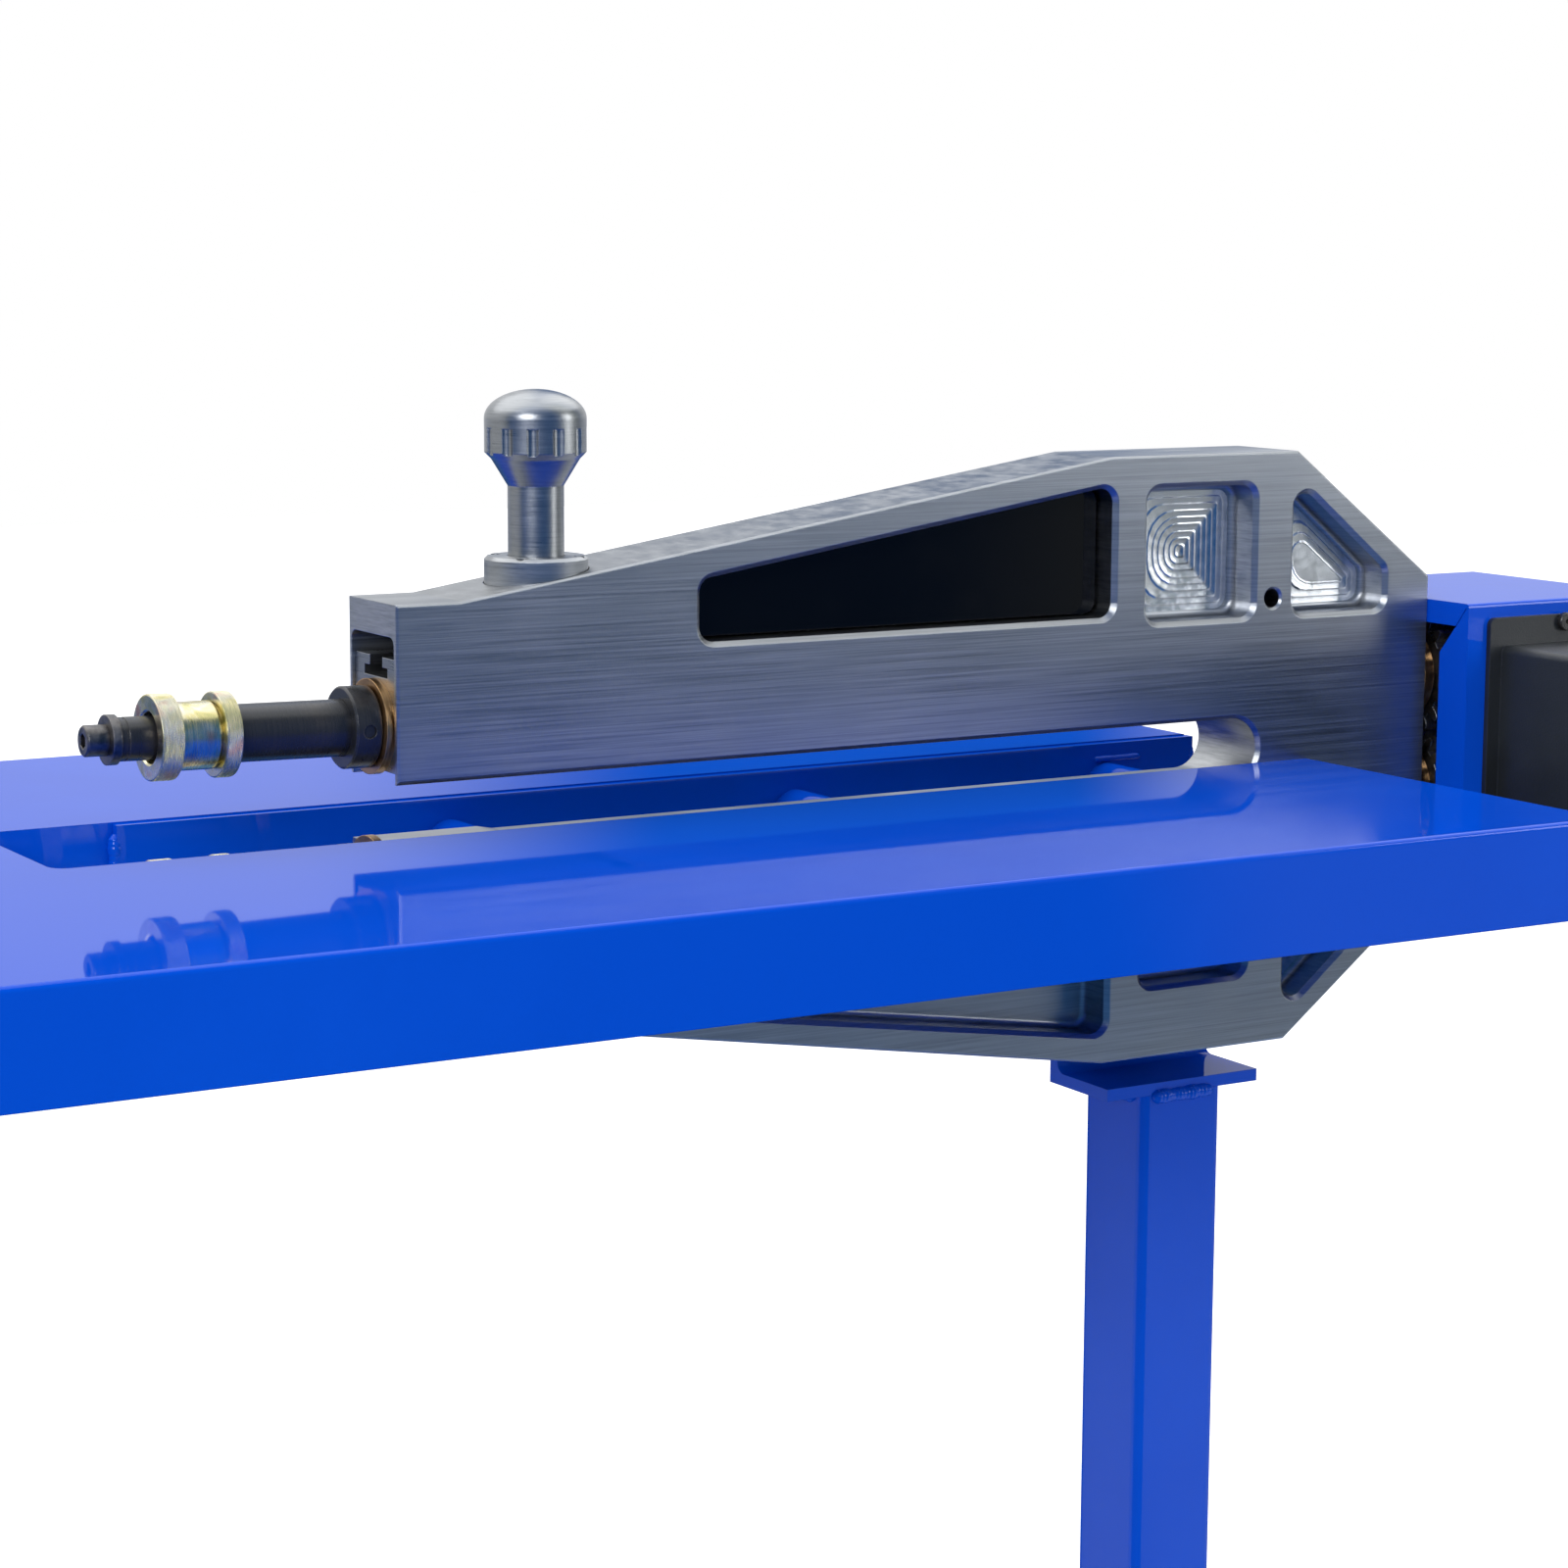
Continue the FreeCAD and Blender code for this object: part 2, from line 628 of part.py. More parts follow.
def make_collar(name, axis_z, flange_x, place):
    """Clamp collar in front of a front bush, with one set screw that faces the operator."""
    x1 = flange_x - FLANGE_T - SIDE_GAP
    x0 = x1 - COLLAR_LENGTH
    middle = (x0 + x1) / 2.0
    collar = turned(
        [
            (x0, SHAFT_R),
            (x0, COLLAR_R - COLLAR_BREAK),
            (x0 + COLLAR_BREAK, COLLAR_R),
            (x1 - COLLAR_BREAK, COLLAR_R),
            (x1, COLLAR_R - COLLAR_BREAK),
            (x1, SHAFT_R),
        ],
        axis_z,
    )
    screw_hole = rod((middle, FRAME_Y, axis_z), (0, -1, 0), SET_SCREW_R, COLLAR_R + 1)
    screw = rod((middle, FRAME_Y - SHAFT_R, axis_z), (0, -1, 0), SET_SCREW_R, SET_SCREW_LENGTH)
    save(name + "_collar", place(collar.cut(screw_hole)))
    save(name + "_collar_screw", place(screw))


def make_die_adjuster(name, axis_z, place):
    """Knurled sleeve that positions the die along the shaft, and the ring that drives it."""
    ring_front, ring_back = SLEEVE_RING_X
    bore = GUIDE_R + RUNNING_GAP
    sleeve = turned(
        [
            (ring_front, bore),
            (ring_front, RING_R - RING_BREAK),
            (ring_front + RING_BREAK, RING_R),
            (ring_back - RING_BREAK, RING_R),
            (ring_back, RING_R - RING_BREAK),
            (ring_back, SLEEVE_R),
            (SLEEVE_SHOULDER_X - SLEEVE_BREAK, SLEEVE_R),
            (SLEEVE_SHOULDER_X, SLEEVE_R - SLEEVE_BREAK),
            (SLEEVE_SHOULDER_X, TAIL_R),
            (SLEEVE_TAIL_X, TAIL_R),
            (SLEEVE_TAIL_X, bore),
        ],
        axis_z,
    )
    groove = keyway((SLEEVE_GROOVE_X, SLEEVE_TAIL_X + 1), axis_z, GUIDE_R, SLEEVE_GROOVE)
    front, rear = LOCK_RING_X
    ring = turned(
        [
            (front, TAIL_R + RUNNING_GAP),
            (front, RING_R - RING_BREAK),
            (front + RING_BREAK, RING_R),
            (rear - RING_BREAK, RING_R),
            (rear, RING_R - RING_BREAK),
            (rear, bore),
            (LOCK_RING_INNER_X, bore),
            (LOCK_RING_INNER_X, TAIL_R + RUNNING_GAP),
        ],
        axis_z,
    )
    hole_floor = axis_z + RING_R - SPANNER_DEPTH
    spanner_hole = rod((SPANNER_X, FRAME_Y, hole_floor), (0, 0, 1), SPANNER_R, SPANNER_DEPTH + 1)
    save(name + "_die_sleeve", place(sleeve.cut(groove)))
    save(name + "_lock_ring", place(ring.cut(spanner_hole)))


def gear_outline(teeth, module, tooth, thinning, turn_deg, x, centre_z):
    """Spur gear outline in the plane at x; a tooth points up (+Z) when turn_deg is 0."""
    addendum, dedendum = tooth
    pitch_r = module * teeth / 2.0
    base_r = pitch_r * math.cos(PRESSURE_ANGLE)
    half_pitch_angle = math.pi / (2 * teeth) - thinning / (2 * pitch_r)

    def involute(r):
        angle = math.acos(min(1.0, base_r / r))
        return math.tan(angle) - angle

    def half_angle(r):
        return half_pitch_angle + involute(pitch_r) - involute(max(r, base_r))

    def point(r, angle):
        return V(x, FRAME_Y - r * math.sin(angle), centre_z + r * math.cos(angle))

    root_r = pitch_r - dedendum
    tip_r = pitch_r + addendum
    middle_r = (max(root_r, base_r) + tip_r) / 2.0
    edges = []
    step = 2 * math.pi / teeth
    for k in range(teeth):
        centre = math.radians(turn_deg) + k * step
        rising = [point(r, centre - half_angle(r)) for r in (root_r, middle_r, tip_r)]
        falling = [point(r, centre + half_angle(r)) for r in (tip_r, middle_r, root_r)]
        following = point(root_r, centre + step - half_angle(root_r))
        edges.append(Part.Arc(*rising).toShape())
        edges.append(Part.Arc(rising[2], point(tip_r, centre), falling[0]).toShape())
        edges.append(Part.Arc(*falling).toShape())
        edges.append(Part.Arc(falling[2], point(root_r, centre + step / 2.0), following).toShape())
    return Part.Wire(edges)


def bored(gear, x_range, axis_z, groove):
    span = (x_range[0] - 1, x_range[1] + 1)
    bore = rod((span[0], FRAME_Y, axis_z), (1, 0, 0), SHAFT_R, span[1] - span[0])
    return gear.cut(bore).cut(keyway(span, axis_z, SHAFT_R, groove))


def make_spur_gear(name, axis_z, turn_deg, place):
    tooth = (0.9 * GEAR_MODULE, 1.25 * GEAR_MODULE)
    outline = gear_outline(GEAR_TEETH, GEAR_MODULE, tooth, GEAR_THINNING, turn_deg, GEAR_X[0], axis_z)
    gear = Part.Face(outline).extrude(V(GEAR_X[1] - GEAR_X[0], 0, 0))
    hub = rod((GEAR_HUB_X, FRAME_Y, axis_z), (1, 0, 0), GEAR_HUB_R, GEAR_X[0] - GEAR_HUB_X)
    save(name + "_gear", place(bored(gear.fuse(hub), (GEAR_HUB_X, GEAR_X[1]), axis_z, GEAR_KEY)))


def make_worm_wheel():
    """Wheel whose teeth lean with the worm's thread where the two meet."""
    wheel_r = WORM_MODULE * WHEEL_TEETH / 2.0
    lean = math.degrees(WORM_LEAD / (2 * math.pi * WORM_PITCH_R) / wheel_r)
    sections = []
    for x in WHEEL_X:
        turn = lean * (x - WORM_X)
        section = gear_outline(WHEEL_TEETH, WORM_MODULE, WHEEL_TOOTH, WHEEL_THINNING, turn, x, LOWER_AXIS_Z)
        sections.append(section)
    wheel = Part.makeLoft(sections, True, True)
    save("worm_wheel", bored(wheel, WHEEL_X, LOWER_AXIS_Z, WHEEL_KEY))
    x0, x1 = GEAR_X[1] + SIDE_GAP, WHEEL_X[0] - SIDE_GAP
    spacer = turned([(x0, SHAFT_R), (x0, GEAR_HUB_R), (x1, GEAR_HUB_R), (x1, SHAFT_R)], LOWER_AXIS_Z)
    save("gear_spacer", spacer)


def make_worm():
    """Single-start worm on the motor's shaft, lying across the machine."""
    addendum, dedendum = WORM_TOOTH
    root_r = WORM_PITCH_R - dedendum
    tip_r = WORM_PITCH_R + addendum
    half_at_pitch = WORM_LEAD / 4.0 - WORM_THINNING
    slope = math.tan(PRESSURE_ANGLE)
    length = WORM_TURNS * WORM_LEAD
    inner_r = root_r - WORM_OVERLAP
    root_half = half_at_pitch + (WORM_PITCH_R - inner_r) * slope
    tip_half = half_at_pitch - addendum * slope
    section = Part.makePolygon(
        [
            V(inner_r, 0, -root_half),
            V(tip_r, 0, -tip_half),
            V(tip_r, 0, tip_half),
            V(inner_r, 0, root_half),
            V(inner_r, 0, -root_half),
        ]
    )
    helix = Part.makeHelix(WORM_LEAD, length, WORM_PITCH_R)
    thread = Part.Wire(helix.Edges).makePipeShell([section], True, True)
    core = Part.makeCylinder(root_r, length + 2 * WORM_LEAD, V(0, 0, -WORM_LEAD))
    worm = core.fuse(thread)
    # The thread starts at +X of its own frame and climbs along its own Z, which becomes -Y here. Half a
    # turn on, it passes the wheel side, where a gap between threads has to meet the wheel's top tooth.
    worm.rotate(V(0, 0, 0), V(1, 0, 0), 90)
    worm.rotate(V(0, 0, 0), V(0, 1, 0), 90)
    worm.translate(V(WORM_X, FRAME_Y + 4.5 * WORM_LEAD, DATUM_Z))
    start = (WORM_X, GUARD_Y[0] - WORM_SHAFT_BEHIND, DATUM_Z)
    shaft = rod(start, (0, 1, 0), WORM_SHAFT_R, WORM_SHAFT_LENGTH)
    save("drive_worm", worm.fuse(shaft).removeSplitter())


def make_bearings():
    bore = SHAFT_R + RUNNING_GAP
    flange_x = NOSE_X - FLANGE_T
    end_x = NOSE_X + BUSH_LENGTH
    outline = [(flange_x, bore), (flange_x, BUSH_FLANGE_R), (NOSE_X, BUSH_FLANGE_R)]
    outline += [(NOSE_X, BUSH_R), (end_x, BUSH_R), (end_x, bore)]
    front = turned(outline, LOWER_AXIS_Z)
    save("lower_front_bush", front)
    upper = front.copy()
    upper.translate(V(BLOCK_X[0] - NOSE_X, 0, PIVOT_Z - LOWER_AXIS_Z))
    save("upper_front_bush", raised(upper))

    flange_end = REAR_X + REAR_FLANGE_T
    flange = [(REAR_X, REAR_FLANGE_R), (flange_end, REAR_FLANGE_R)]
    start = [(REAR_BORE_X, bore), (REAR_BORE_X, REAR_BUSH_R), (REAR_X, REAR_BUSH_R)]
    save("lower_rear_bush", turned(start + flange + [(flange_end, bore)], LOWER_AXIS_Z))

    start = [(REAR_BORE_X, SEAT_BORE_R), (REAR_BORE_X, SEAT_R), (REAR_X, SEAT_R)]
    seat = turned(start + flange + [(flange_end, SEAT_BORE_R)], PIVOT_Z)
    centre = V(PIVOT_X, FRAME_Y, PIVOT_Z)
    save("upper_rear_seat", seat.cut(Part.makeSphere(BALL_R + RUNNING_GAP, centre)))
    x0, x1 = about(PIVOT_X, BALL_HALF_WIDTH)
    ring = turned([(x0, bore), (x0, BALL_R + 1), (x1, BALL_R + 1), (x1, bore)], PIVOT_Z)
    save("upper_rear_ball", raised(Part.makeSphere(BALL_R, centre).common(ring)))


def make_bearing_block():
    """Block round the upper shaft, with a T-slot for the stud's foot that is open at the front."""
    top = PIVOT_Z + BLOCK_TOP
    block = box(BLOCK_X, about(FRAME_Y, BLOCK_HALF_WIDTH), (PIVOT_Z + BLOCK_BOTTOM, top))
    block = block.makeChamfer(EDGE_BREAK, edges_along(block, (1, 0, 0)))
    slot_x = (BLOCK_X[0] - 1, STUD_X + FOOT_HALF + FOOT_TRAVEL)
    slot_floor, slot_shoulder = PIVOT_Z + SLOT_FLOOR, PIVOT_Z + SLOT_SHOULDER
    length = BLOCK_X[1] - BLOCK_X[0] + 1
    cutters = [
        rod((BLOCK_X[0] - 1, FRAME_Y, PIVOT_Z), (1, 0, 0), BUSH_R, BUSH_LENGTH + 1),
        rod((BLOCK_X[0], FRAME_Y, PIVOT_Z), (1, 0, 0), SHAFT_R + BLOCK_CLEARANCE, length),
        box(slot_x, about(FRAME_Y, SLOT_HALF), (slot_floor, slot_shoulder)),
        box(slot_x, about(FRAME_Y, SLOT_NECK_HALF), (slot_floor, top + 1)),
    ]
    save("upper_bearing_block", raised(cut_all(block, cutters)))


def make_lift_stud():
    """Stud with a square foot in the block's T-slot and a slimmer neck above the foot."""
    rise = (PIVOT_X - STUD_X) * math.tan(math.radians(REST_TILT))
    foot_z = (PIVOT_Z + rise + SLOT_FLOOR + FOOT_GAP, PIVOT_Z + rise + SLOT_SHOULDER - FOOT_GAP)
    neck_top = PIVOT_Z + rise + BLOCK_TOP + STUD_NECK_CLEAR
    foot = box(about(STUD_X, FOOT_HALF), about(FRAME_Y, FOOT_HALF), foot_z)
    neck = rod((STUD_X, FRAME_Y, foot_z[0]), (0, 0, 1), STUD_NECK_R, neck_top - foot_z[0])
    stem = rod((STUD_X, FRAME_Y, neck_top), (0, 0, 1), STUD_R, STUD_TOP_Z - neck_top)
    save("lift_stud", fused([foot, neck, stem]))


def make_head_cap():
    """Screwed cap that holds the knob down, and the guide bush of the stud below it."""
    bore = STUD_R + RUNNING_GAP
    bush_z = (DATUM_Z + WINDOW_TOP, SPOT_FACE_Z - RUNNING_GAP)
    outline = [(bore, bush_z[0]), (STUD_BORE_R, bush_z[0]), (STUD_BORE_R, bush_z[1]), (bore, bush_z[1])]
    save("stud_guide_bush", turned_upright(outline))

    cap_top = SPOT_FACE_Z + CAP_T
    recess_top = SPOT_FACE_Z + CAP_RECESS
    cap = turned_upright(
        [
            (KNOB_FLANGE_R + SIDE_GAP, SPOT_FACE_Z),
            (CAP_R, SPOT_FACE_Z),
            (CAP_R, cap_top - CAP_BREAK),
            (CAP_R - CAP_BREAK, cap_top),
            (KNOB_NECK_R + SIDE_GAP, cap_top),
            (KNOB_NECK_R + SIDE_GAP, recess_top),
            (KNOB_FLANGE_R + SIDE_GAP, recess_top),
        ]
    )
    seat_z = cap_top - CAP_SCREW_SUNK
    head_r = CAP_SCREW_HEAD_R
    screws = []
    for x, y in cap_screw_places():
        screw = cap_screw((x, y, seat_z), (0, 0, -1), head_r, 2.6, CAP_SCREW_R, CAP_SCREW_LENGTH, 1.4)
        sink = rod((x, y, seat_z), (0, 0, 1), head_r + 0.2, CAP_SCREW_SUNK + 1)
        cap = cap.cut(sink).cut(screw)
        screws.append(screw)
    save("head_cap", cap)
    save("head_cap_screws", *screws)


def make_adjuster_knob():
    """Knob with a hidden nut thread, which raises and lowers the stud held in the bearing block."""
    bore = STUD_R + RUNNING_GAP
    flange_z = (SPOT_FACE_Z + SIDE_GAP, SPOT_FACE_Z + SIDE_GAP + KNOB_FLANGE_T)
    dome_base = KNOB_TOP_Z - KNOB_DOME
    band, skirt, neck = (dome_base + offset for offset in KNOB_BAND)
    knob = turned_upright(
        [
            (bore, flange_z[0]),
            (KNOB_FLANGE_R, flange_z[0]),
            (KNOB_FLANGE_R, flange_z[1]),
            (KNOB_NECK_R, flange_z[1]),
            (KNOB_NECK_R, neck),
            (KNOB_R - 3.0, skirt),
            (KNOB_R, band),
            (KNOB_R, dome_base),
            (KNOB_CAVITY_R, dome_base),
            (KNOB_CAVITY_R, KNOB_THREAD_TOP_Z + 2.0),
            (bore, KNOB_THREAD_TOP_Z),
        ]
    )
    stretch = FreeCAD.Matrix()
    stretch.scale(1, 1, KNOB_DOME / KNOB_R)
    dome = Part.makeSphere(KNOB_R, V(0, 0, 0), V(0, 0, 1), 0, 90, 360).transformGeometry(stretch)
    dome.translate(V(STUD_X, FRAME_Y, dome_base))
    knob = knob.fuse(dome)
    grip_length = GRIP_BAND[1] - GRIP_BAND[0]
    for k in range(GRIPS):
        angle = 2 * math.pi * k / GRIPS
        x = STUD_X + GRIP_CIRCLE_R * math.cos(angle)
        y = FRAME_Y + GRIP_CIRCLE_R * math.sin(angle)
        knob = knob.cut(rod((x, y, dome_base + GRIP_BAND[0]), (0, 0, 1), GRIP_R, grip_length))
    save("adjuster_knob", knob.removeSplitter())


def return_flange(outline):
    """Bent-in front edge of the guard, from outline points (y, height above the datum)."""
    face = polygon_face([V(GUARD_X[0], y, DATUM_Z + z) for y, z in outline])
    return face.extrude(V(SHEET, 0, 0))


def guard_flanges():
    """The four bent-in front edges, which leave an opening with cut corners round the frame."""
    y0, y1 = GUARD_Y
    open_y0, open_y1 = GUARD_OPENING_Y
    cut_y, cut_z = OPENING_CUT
    edge = GUARD_HALF_HEIGHT - 1
    flanges = []
    for sign in (1, -1):
        lip = sign * GUARD_OPENING
        corners = [(open_y1 + cut_y, lip), (open_y0 - cut_y, lip)]
        flanges.append(return_flange([(y0 + 1, sign * edge), (y1 - 1, sign * edge)] + corners))
    for outer, inner, cut in ((y0 + 1, open_y0, -cut_y), (y1 - 1, open_y1, cut_y)):
        straight = GUARD_OPENING - cut_z
        side = [(outer, -edge), (inner + cut, -GUARD_OPENING), (inner, -straight)]
        side += [(inner, straight), (inner + cut, GUARD_OPENING), (outer, edge)]
        flanges.append(return_flange(side))
    return flanges


def mitre_seams():
    """Thin slots where the bent-in edges meet at the opening's corners."""
    cut_y = OPENING_CUT[0]
    corner_y = (GUARD_OPENING_Y[0] - cut_y, GUARD_OPENING_Y[1] + cut_y)
    seams = []
    for outer, inner in zip(GUARD_Y, corner_y):
        for sign in (1, -1):
            dy, dz = outer - inner, sign * (GUARD_HALF_HEIGHT - GUARD_OPENING)
            length = math.hypot(dy, dz) - SHEET
            seam = box((GUARD_X[0] - 1, GUARD_X[0] + SHEET), (-1, length), about(0, SEAM / 2.0))
            seam.rotate(V(0, 0, 0), V(1, 0, 0), math.degrees(math.atan2(dz, dy)))
            seam.translate(V(0, inner, DATUM_Z + sign * GUARD_OPENING))
            seams.append(seam)
    return seams


def motor_screw_set():
    """Two screws through the cover's flange, and four from inside the guard into the motor."""
    near = GUARD_Y[0]
    screws = []
    for z in about(DATUM_Z, FLANGE_SCREW_HEIGHT):
        screws.append(cap_screw((WORM_X, near - SHEET, z), (0, 1, 0), 4.75, 2.8, 2.5, 10.0, 1.6))
    for x in about(WORM_X, MOTOR_SCREW_OFFSET):
        for z in about(DATUM_Z, MOTOR_SCREW_OFFSET):
            screws.append(cap_screw((x, near + SHEET, z), (0, -1, 0), 4.25, 5.0, 2.5, 8.0, 2.0))
    return screws


def make_guard():
    x0, x1 = GUARD_X
    y0, y1 = GUARD_Y
    z0, z1 = about(DATUM_Z, GUARD_HALF_HEIGHT)
    shell = rounded_box(GUARD_X, GUARD_Y, (z0, z1), (1, 0, 0), GUARD_BEND_R)
    inside = box((x0 - 1, x1 + 1), (y0 + SHEET, y1 - SHEET), (z0 + SHEET, z1 - SHEET))
    rear_lip = box((x1 - SHEET, x1), (y0 + 1, y1 - 1), (z0 + 1, z1 - 1))
    rear_way = box((x1 - 10, x1 + 1), (y0 + REAR_LIP, y1 - REAR_LIP), (z0 + REAR_LIP, z1 - REAR_LIP))
    guard = fused([shell.cut(inside)] + guard_flanges() + [rear_lip.cut(rear_way)])
    cover = rounded_box((x1, x1 + SHEET), (y0 + 1, y1 - 1), (z0 + 1, z1 - 1), (1, 0, 0), COVER_CORNER)
    for k in range(VENTS):
        z = DATUM_Z + VENT_PITCH * (k - (VENTS - 1) / 2.0)
        vent_y = (y0 + VENT_INSET, y1 - VENT_INSET)
        cover = cover.cut(box((x1 - 1, x1 + SHEET + 1), vent_y, about(z, VENT_HALF)))
    cover_screws = []
    for y in (y0 + COVER_SCREW_INSET, y1 - COVER_SCREW_INSET):
        for z in about(DATUM_Z, COVER_SCREW_HEIGHT):
            cover_screws.append(cap_screw((x1 + SHEET, y, z), (-1, 0, 0), 4.0, 2.4, 2.0, 10.0, 1.4))
    frame_screws = []
    for y, z in guard_screw_places():
        frame_screws.append(cap_screw((x0 + SHEET, y, z), (-1, 0, 0), 4.6, 3.0, 3.0, 14.0, 2.0))
    motor_screws = motor_screw_set()
    shaft_hole = rod((WORM_X, y0 - 1, DATUM_Z), (0, 1, 0), 12.0, SHEET + 2)
    guard = cut_all(guard, cover_screws + frame_screws + motor_screws + mitre_seams() + [shaft_hole])
    save("rear_guard", guard)
    save("guard_cover", cut_all(cover, cover_screws))
    save("guard_cover_screws", *cover_screws)
    save("guard_frame_screws", *frame_screws)
    save("motor_screws", *motor_screws)
    make_motor_cover(motor_screws)
    make_motor(motor_screws)


def make_motor_cover(motor_screws):
    near = GUARD_Y[0]
    far_end = near - COVER_LENGTH
    half_x, half_z = COVER_HALF
    flange_x, flange_z = COVER_FLANGE_HALF
    box_x, box_z = about(WORM_X, half_x), about(DATUM_Z, half_z)
    outer = rounded_box(box_x, (far_end, near), box_z, (0, 1, 0), COVER_CORNER)
    flange_y = (near - SHEET, near)
    flange_box = (about(WORM_X, flange_x), flange_y, about(DATUM_Z, flange_z))
    flange = rounded_box(*flange_box, (0, 1, 0), COVER_CORNER)
    inner = box(
        about(WORM_X, half_x - COVER_SHEET),
        (far_end + COVER_SHEET, near + 1),
        about(DATUM_Z, half_z - COVER_SHEET),
    )
    x, z = WORM_X + GLAND_OFFSET[0], DATUM_Z + GLAND_OFFSET[1]
    gland_hole = rod((x, far_end - 1, z), (0, 1, 0), GLAND_R, COVER_SHEET + 2)
    save("motor_cover", cut_all(outer.fuse(flange).cut(inner), motor_screws + [gland_hole]))

    inner_y = far_end + COVER_SHEET + 5.0
    neck = rod((x, inner_y, z), (0, -1, 0), GLAND_R, inner_y - far_end)
    across, nut_t = GLAND_NUT
    base_r, tip_r, dome_t = GLAND_DOME
    nut = hex_bolt((x, far_end, z), (0, 1, 0), across, nut_t, GLAND_R, 1.0)
    dome = Part.makeCone(base_r, tip_r, dome_t, V(x, far_end - nut_t, z), V(0, -1, 0))
    bore = rod((x, inner_y + 1, z), (0, -1, 0), GLAND_BORE_R, COVER_LENGTH)
    save("cable_gland", fused([neck, nut, dome]).cut(bore))


def make_motor(motor_screws):
    """Closed gear motor, and the block with a bush that carries the far end of its shaft."""
    near = GUARD_Y[0]
    plate_x, plate_z = about(WORM_X, MOTOR_PLATE_HALF), about(DATUM_Z, MOTOR_PLATE_HALF)
    plate = rounded_box(plate_x, (near - MOTOR_PLATE_T, near), plate_z, (0, 1, 0), 6.0)
    can_y = near - MOTOR_PLATE_T
    can = rod((WORM_X, can_y, DATUM_Z), (0, -1, 0), MOTOR_R, MOTOR_LENGTH)
    bell = Part.makeCone(*MOTOR_BELL, V(WORM_X, can_y - MOTOR_LENGTH, DATUM_Z), V(0, -1, 0))
    pilot = rod((WORM_X, near, DATUM_Z), (0, 1, 0), MOTOR_PILOT_R, SHEET)
    shaft_bore_r = WORM_SHAFT_R + RUNNING_GAP
    bore = rod((WORM_X, near + SHEET + 1, DATUM_Z), (0, -1, 0), shaft_bore_r, WORM_SHAFT_BEHIND + SHEET + 3)
    save("drive_motor", cut_all(fused([plate, can, bell, pilot]), [bore] + motor_screws))

    y0 = SUPPORT_Y[0]
    support_x, support_z = about(WORM_X, SUPPORT_HALF), about(DATUM_Z, SUPPORT_HALF)
    support = rounded_box(support_x, SUPPORT_Y, support_z, (0, 1, 0), SHEET)
    bush = rod((WORM_X, y0, DATUM_Z), (0, 1, 0), END_BUSH_R, END_BUSH_LENGTH)
    save("worm_support", support.cut(bush))
    bush_bore = rod((WORM_X, y0 - 1, DATUM_Z), (0, 1, 0), shaft_bore_r, END_BUSH_LENGTH + 2)
    save("worm_end_bush", bush.cut(bush_bore))


def make_table():
    """Folded sheet tray with a slot for the shafts, bolted to both sides of the frame."""
    top = TABLE_TOP_Z
    x0, x1 = TABLE_X
    y0, y1 = TABLE_Y
    skirt_end = top - TABLE_SKIRT
    tray = rounded_box(TABLE_X, TABLE_Y, (skirt_end, top), (0, 0, 1), TABLE_CORNER)
    tray = tray.makeFillet(TABLE_BEND, edges_on_plane(tray, V(0, 0, top), V(0, 0, 1)))
    under_z = (skirt_end - 1, top - SHEET)
    hollows = [
        box((x0 + SHEET, x1 - SHEET), (y0 + SHEET, CUTOUT_Y[0] - SHEET), under_z),
        box((x0 + SHEET, x1 - SHEET), (CUTOUT_Y[1] + SHEET, y1 - SHEET), under_z),
        box((x0 + SHEET, CUTOUT_X - SHEET), (y0 + SHEET, y1 - SHEET), under_z),
    ]
    cutout = box((CUTOUT_X, x1 + 1), CUTOUT_Y, (skirt_end - 1, top + 1))
    corners = edges_along(cutout, (0, 0, 1), lambda e: e.Vertexes[0].X < CUTOUT_X + 1)
    hollows.append(cutout.makeFillet(CUTOUT_CORNER, corners))
    bar_y = (CUTOUT_Y[1] - BAR_T, CUTOUT_Y[1])
    bar = box((BAR_START_X, x1), bar_y, BAR_Z)
    near_seat, far_seat = CUTOUT_Y[0] - SHEET, CUTOUT_Y[1] + SHEET
    near_length = NEAR_Y - near_seat + TABLE_BOLT_GRIP
    far_length = far_seat - BACK_Y + TABLE_BOLT_GRIP
    near_bolts = []
    far_bolts = []
    spacers = []
    for x in TABLE_BOLT_X:
        near = (x, near_seat, LOWER_AXIS_Z)
        far = (x, far_seat, LOWER_AXIS_Z)
        near_bolts.append(hex_bolt(near, (0, 1, 0), BOLT_FLATS, BOLT_HEAD, BOLT_R, near_length))
        far_bolts.append(hex_bolt(far, (0, -1, 0), BOLT_FLATS, BOLT_HEAD, BOLT_R, far_length))
        spacer = rod((x, BACK_Y, LOWER_AXIS_Z), (0, 1, 0), TABLE_SPACER_R, bar_y[0] - BACK_Y)
        spacers.append(spacer.cut(far_bolts[-1]))
    save("table_top", cut_all(tray, hollows + near_bolts + far_bolts))
    save("table_bar", cut_all(bar, far_bolts))
    save("table_bolts", *near_bolts, *far_bolts)
    save("table_spacers", *spacers)


def square_tube(x, y, z, along):
    """Tube that is open at both ends; the bore runs 1 mm past them."""
    bore_ranges = []
    for span, is_open in zip((x, y, z), along):
        wall = -1.0 if is_open else TUBE_WALL
        bore_ranges.append((span[0] + wall, span[1] - wall))
    bore = rounded_box(*bore_ranges, along, TUBE_CORNER - TUBE_WALL)
    return rounded_box(x, y, z, along, TUBE_CORNER).cut(bore)


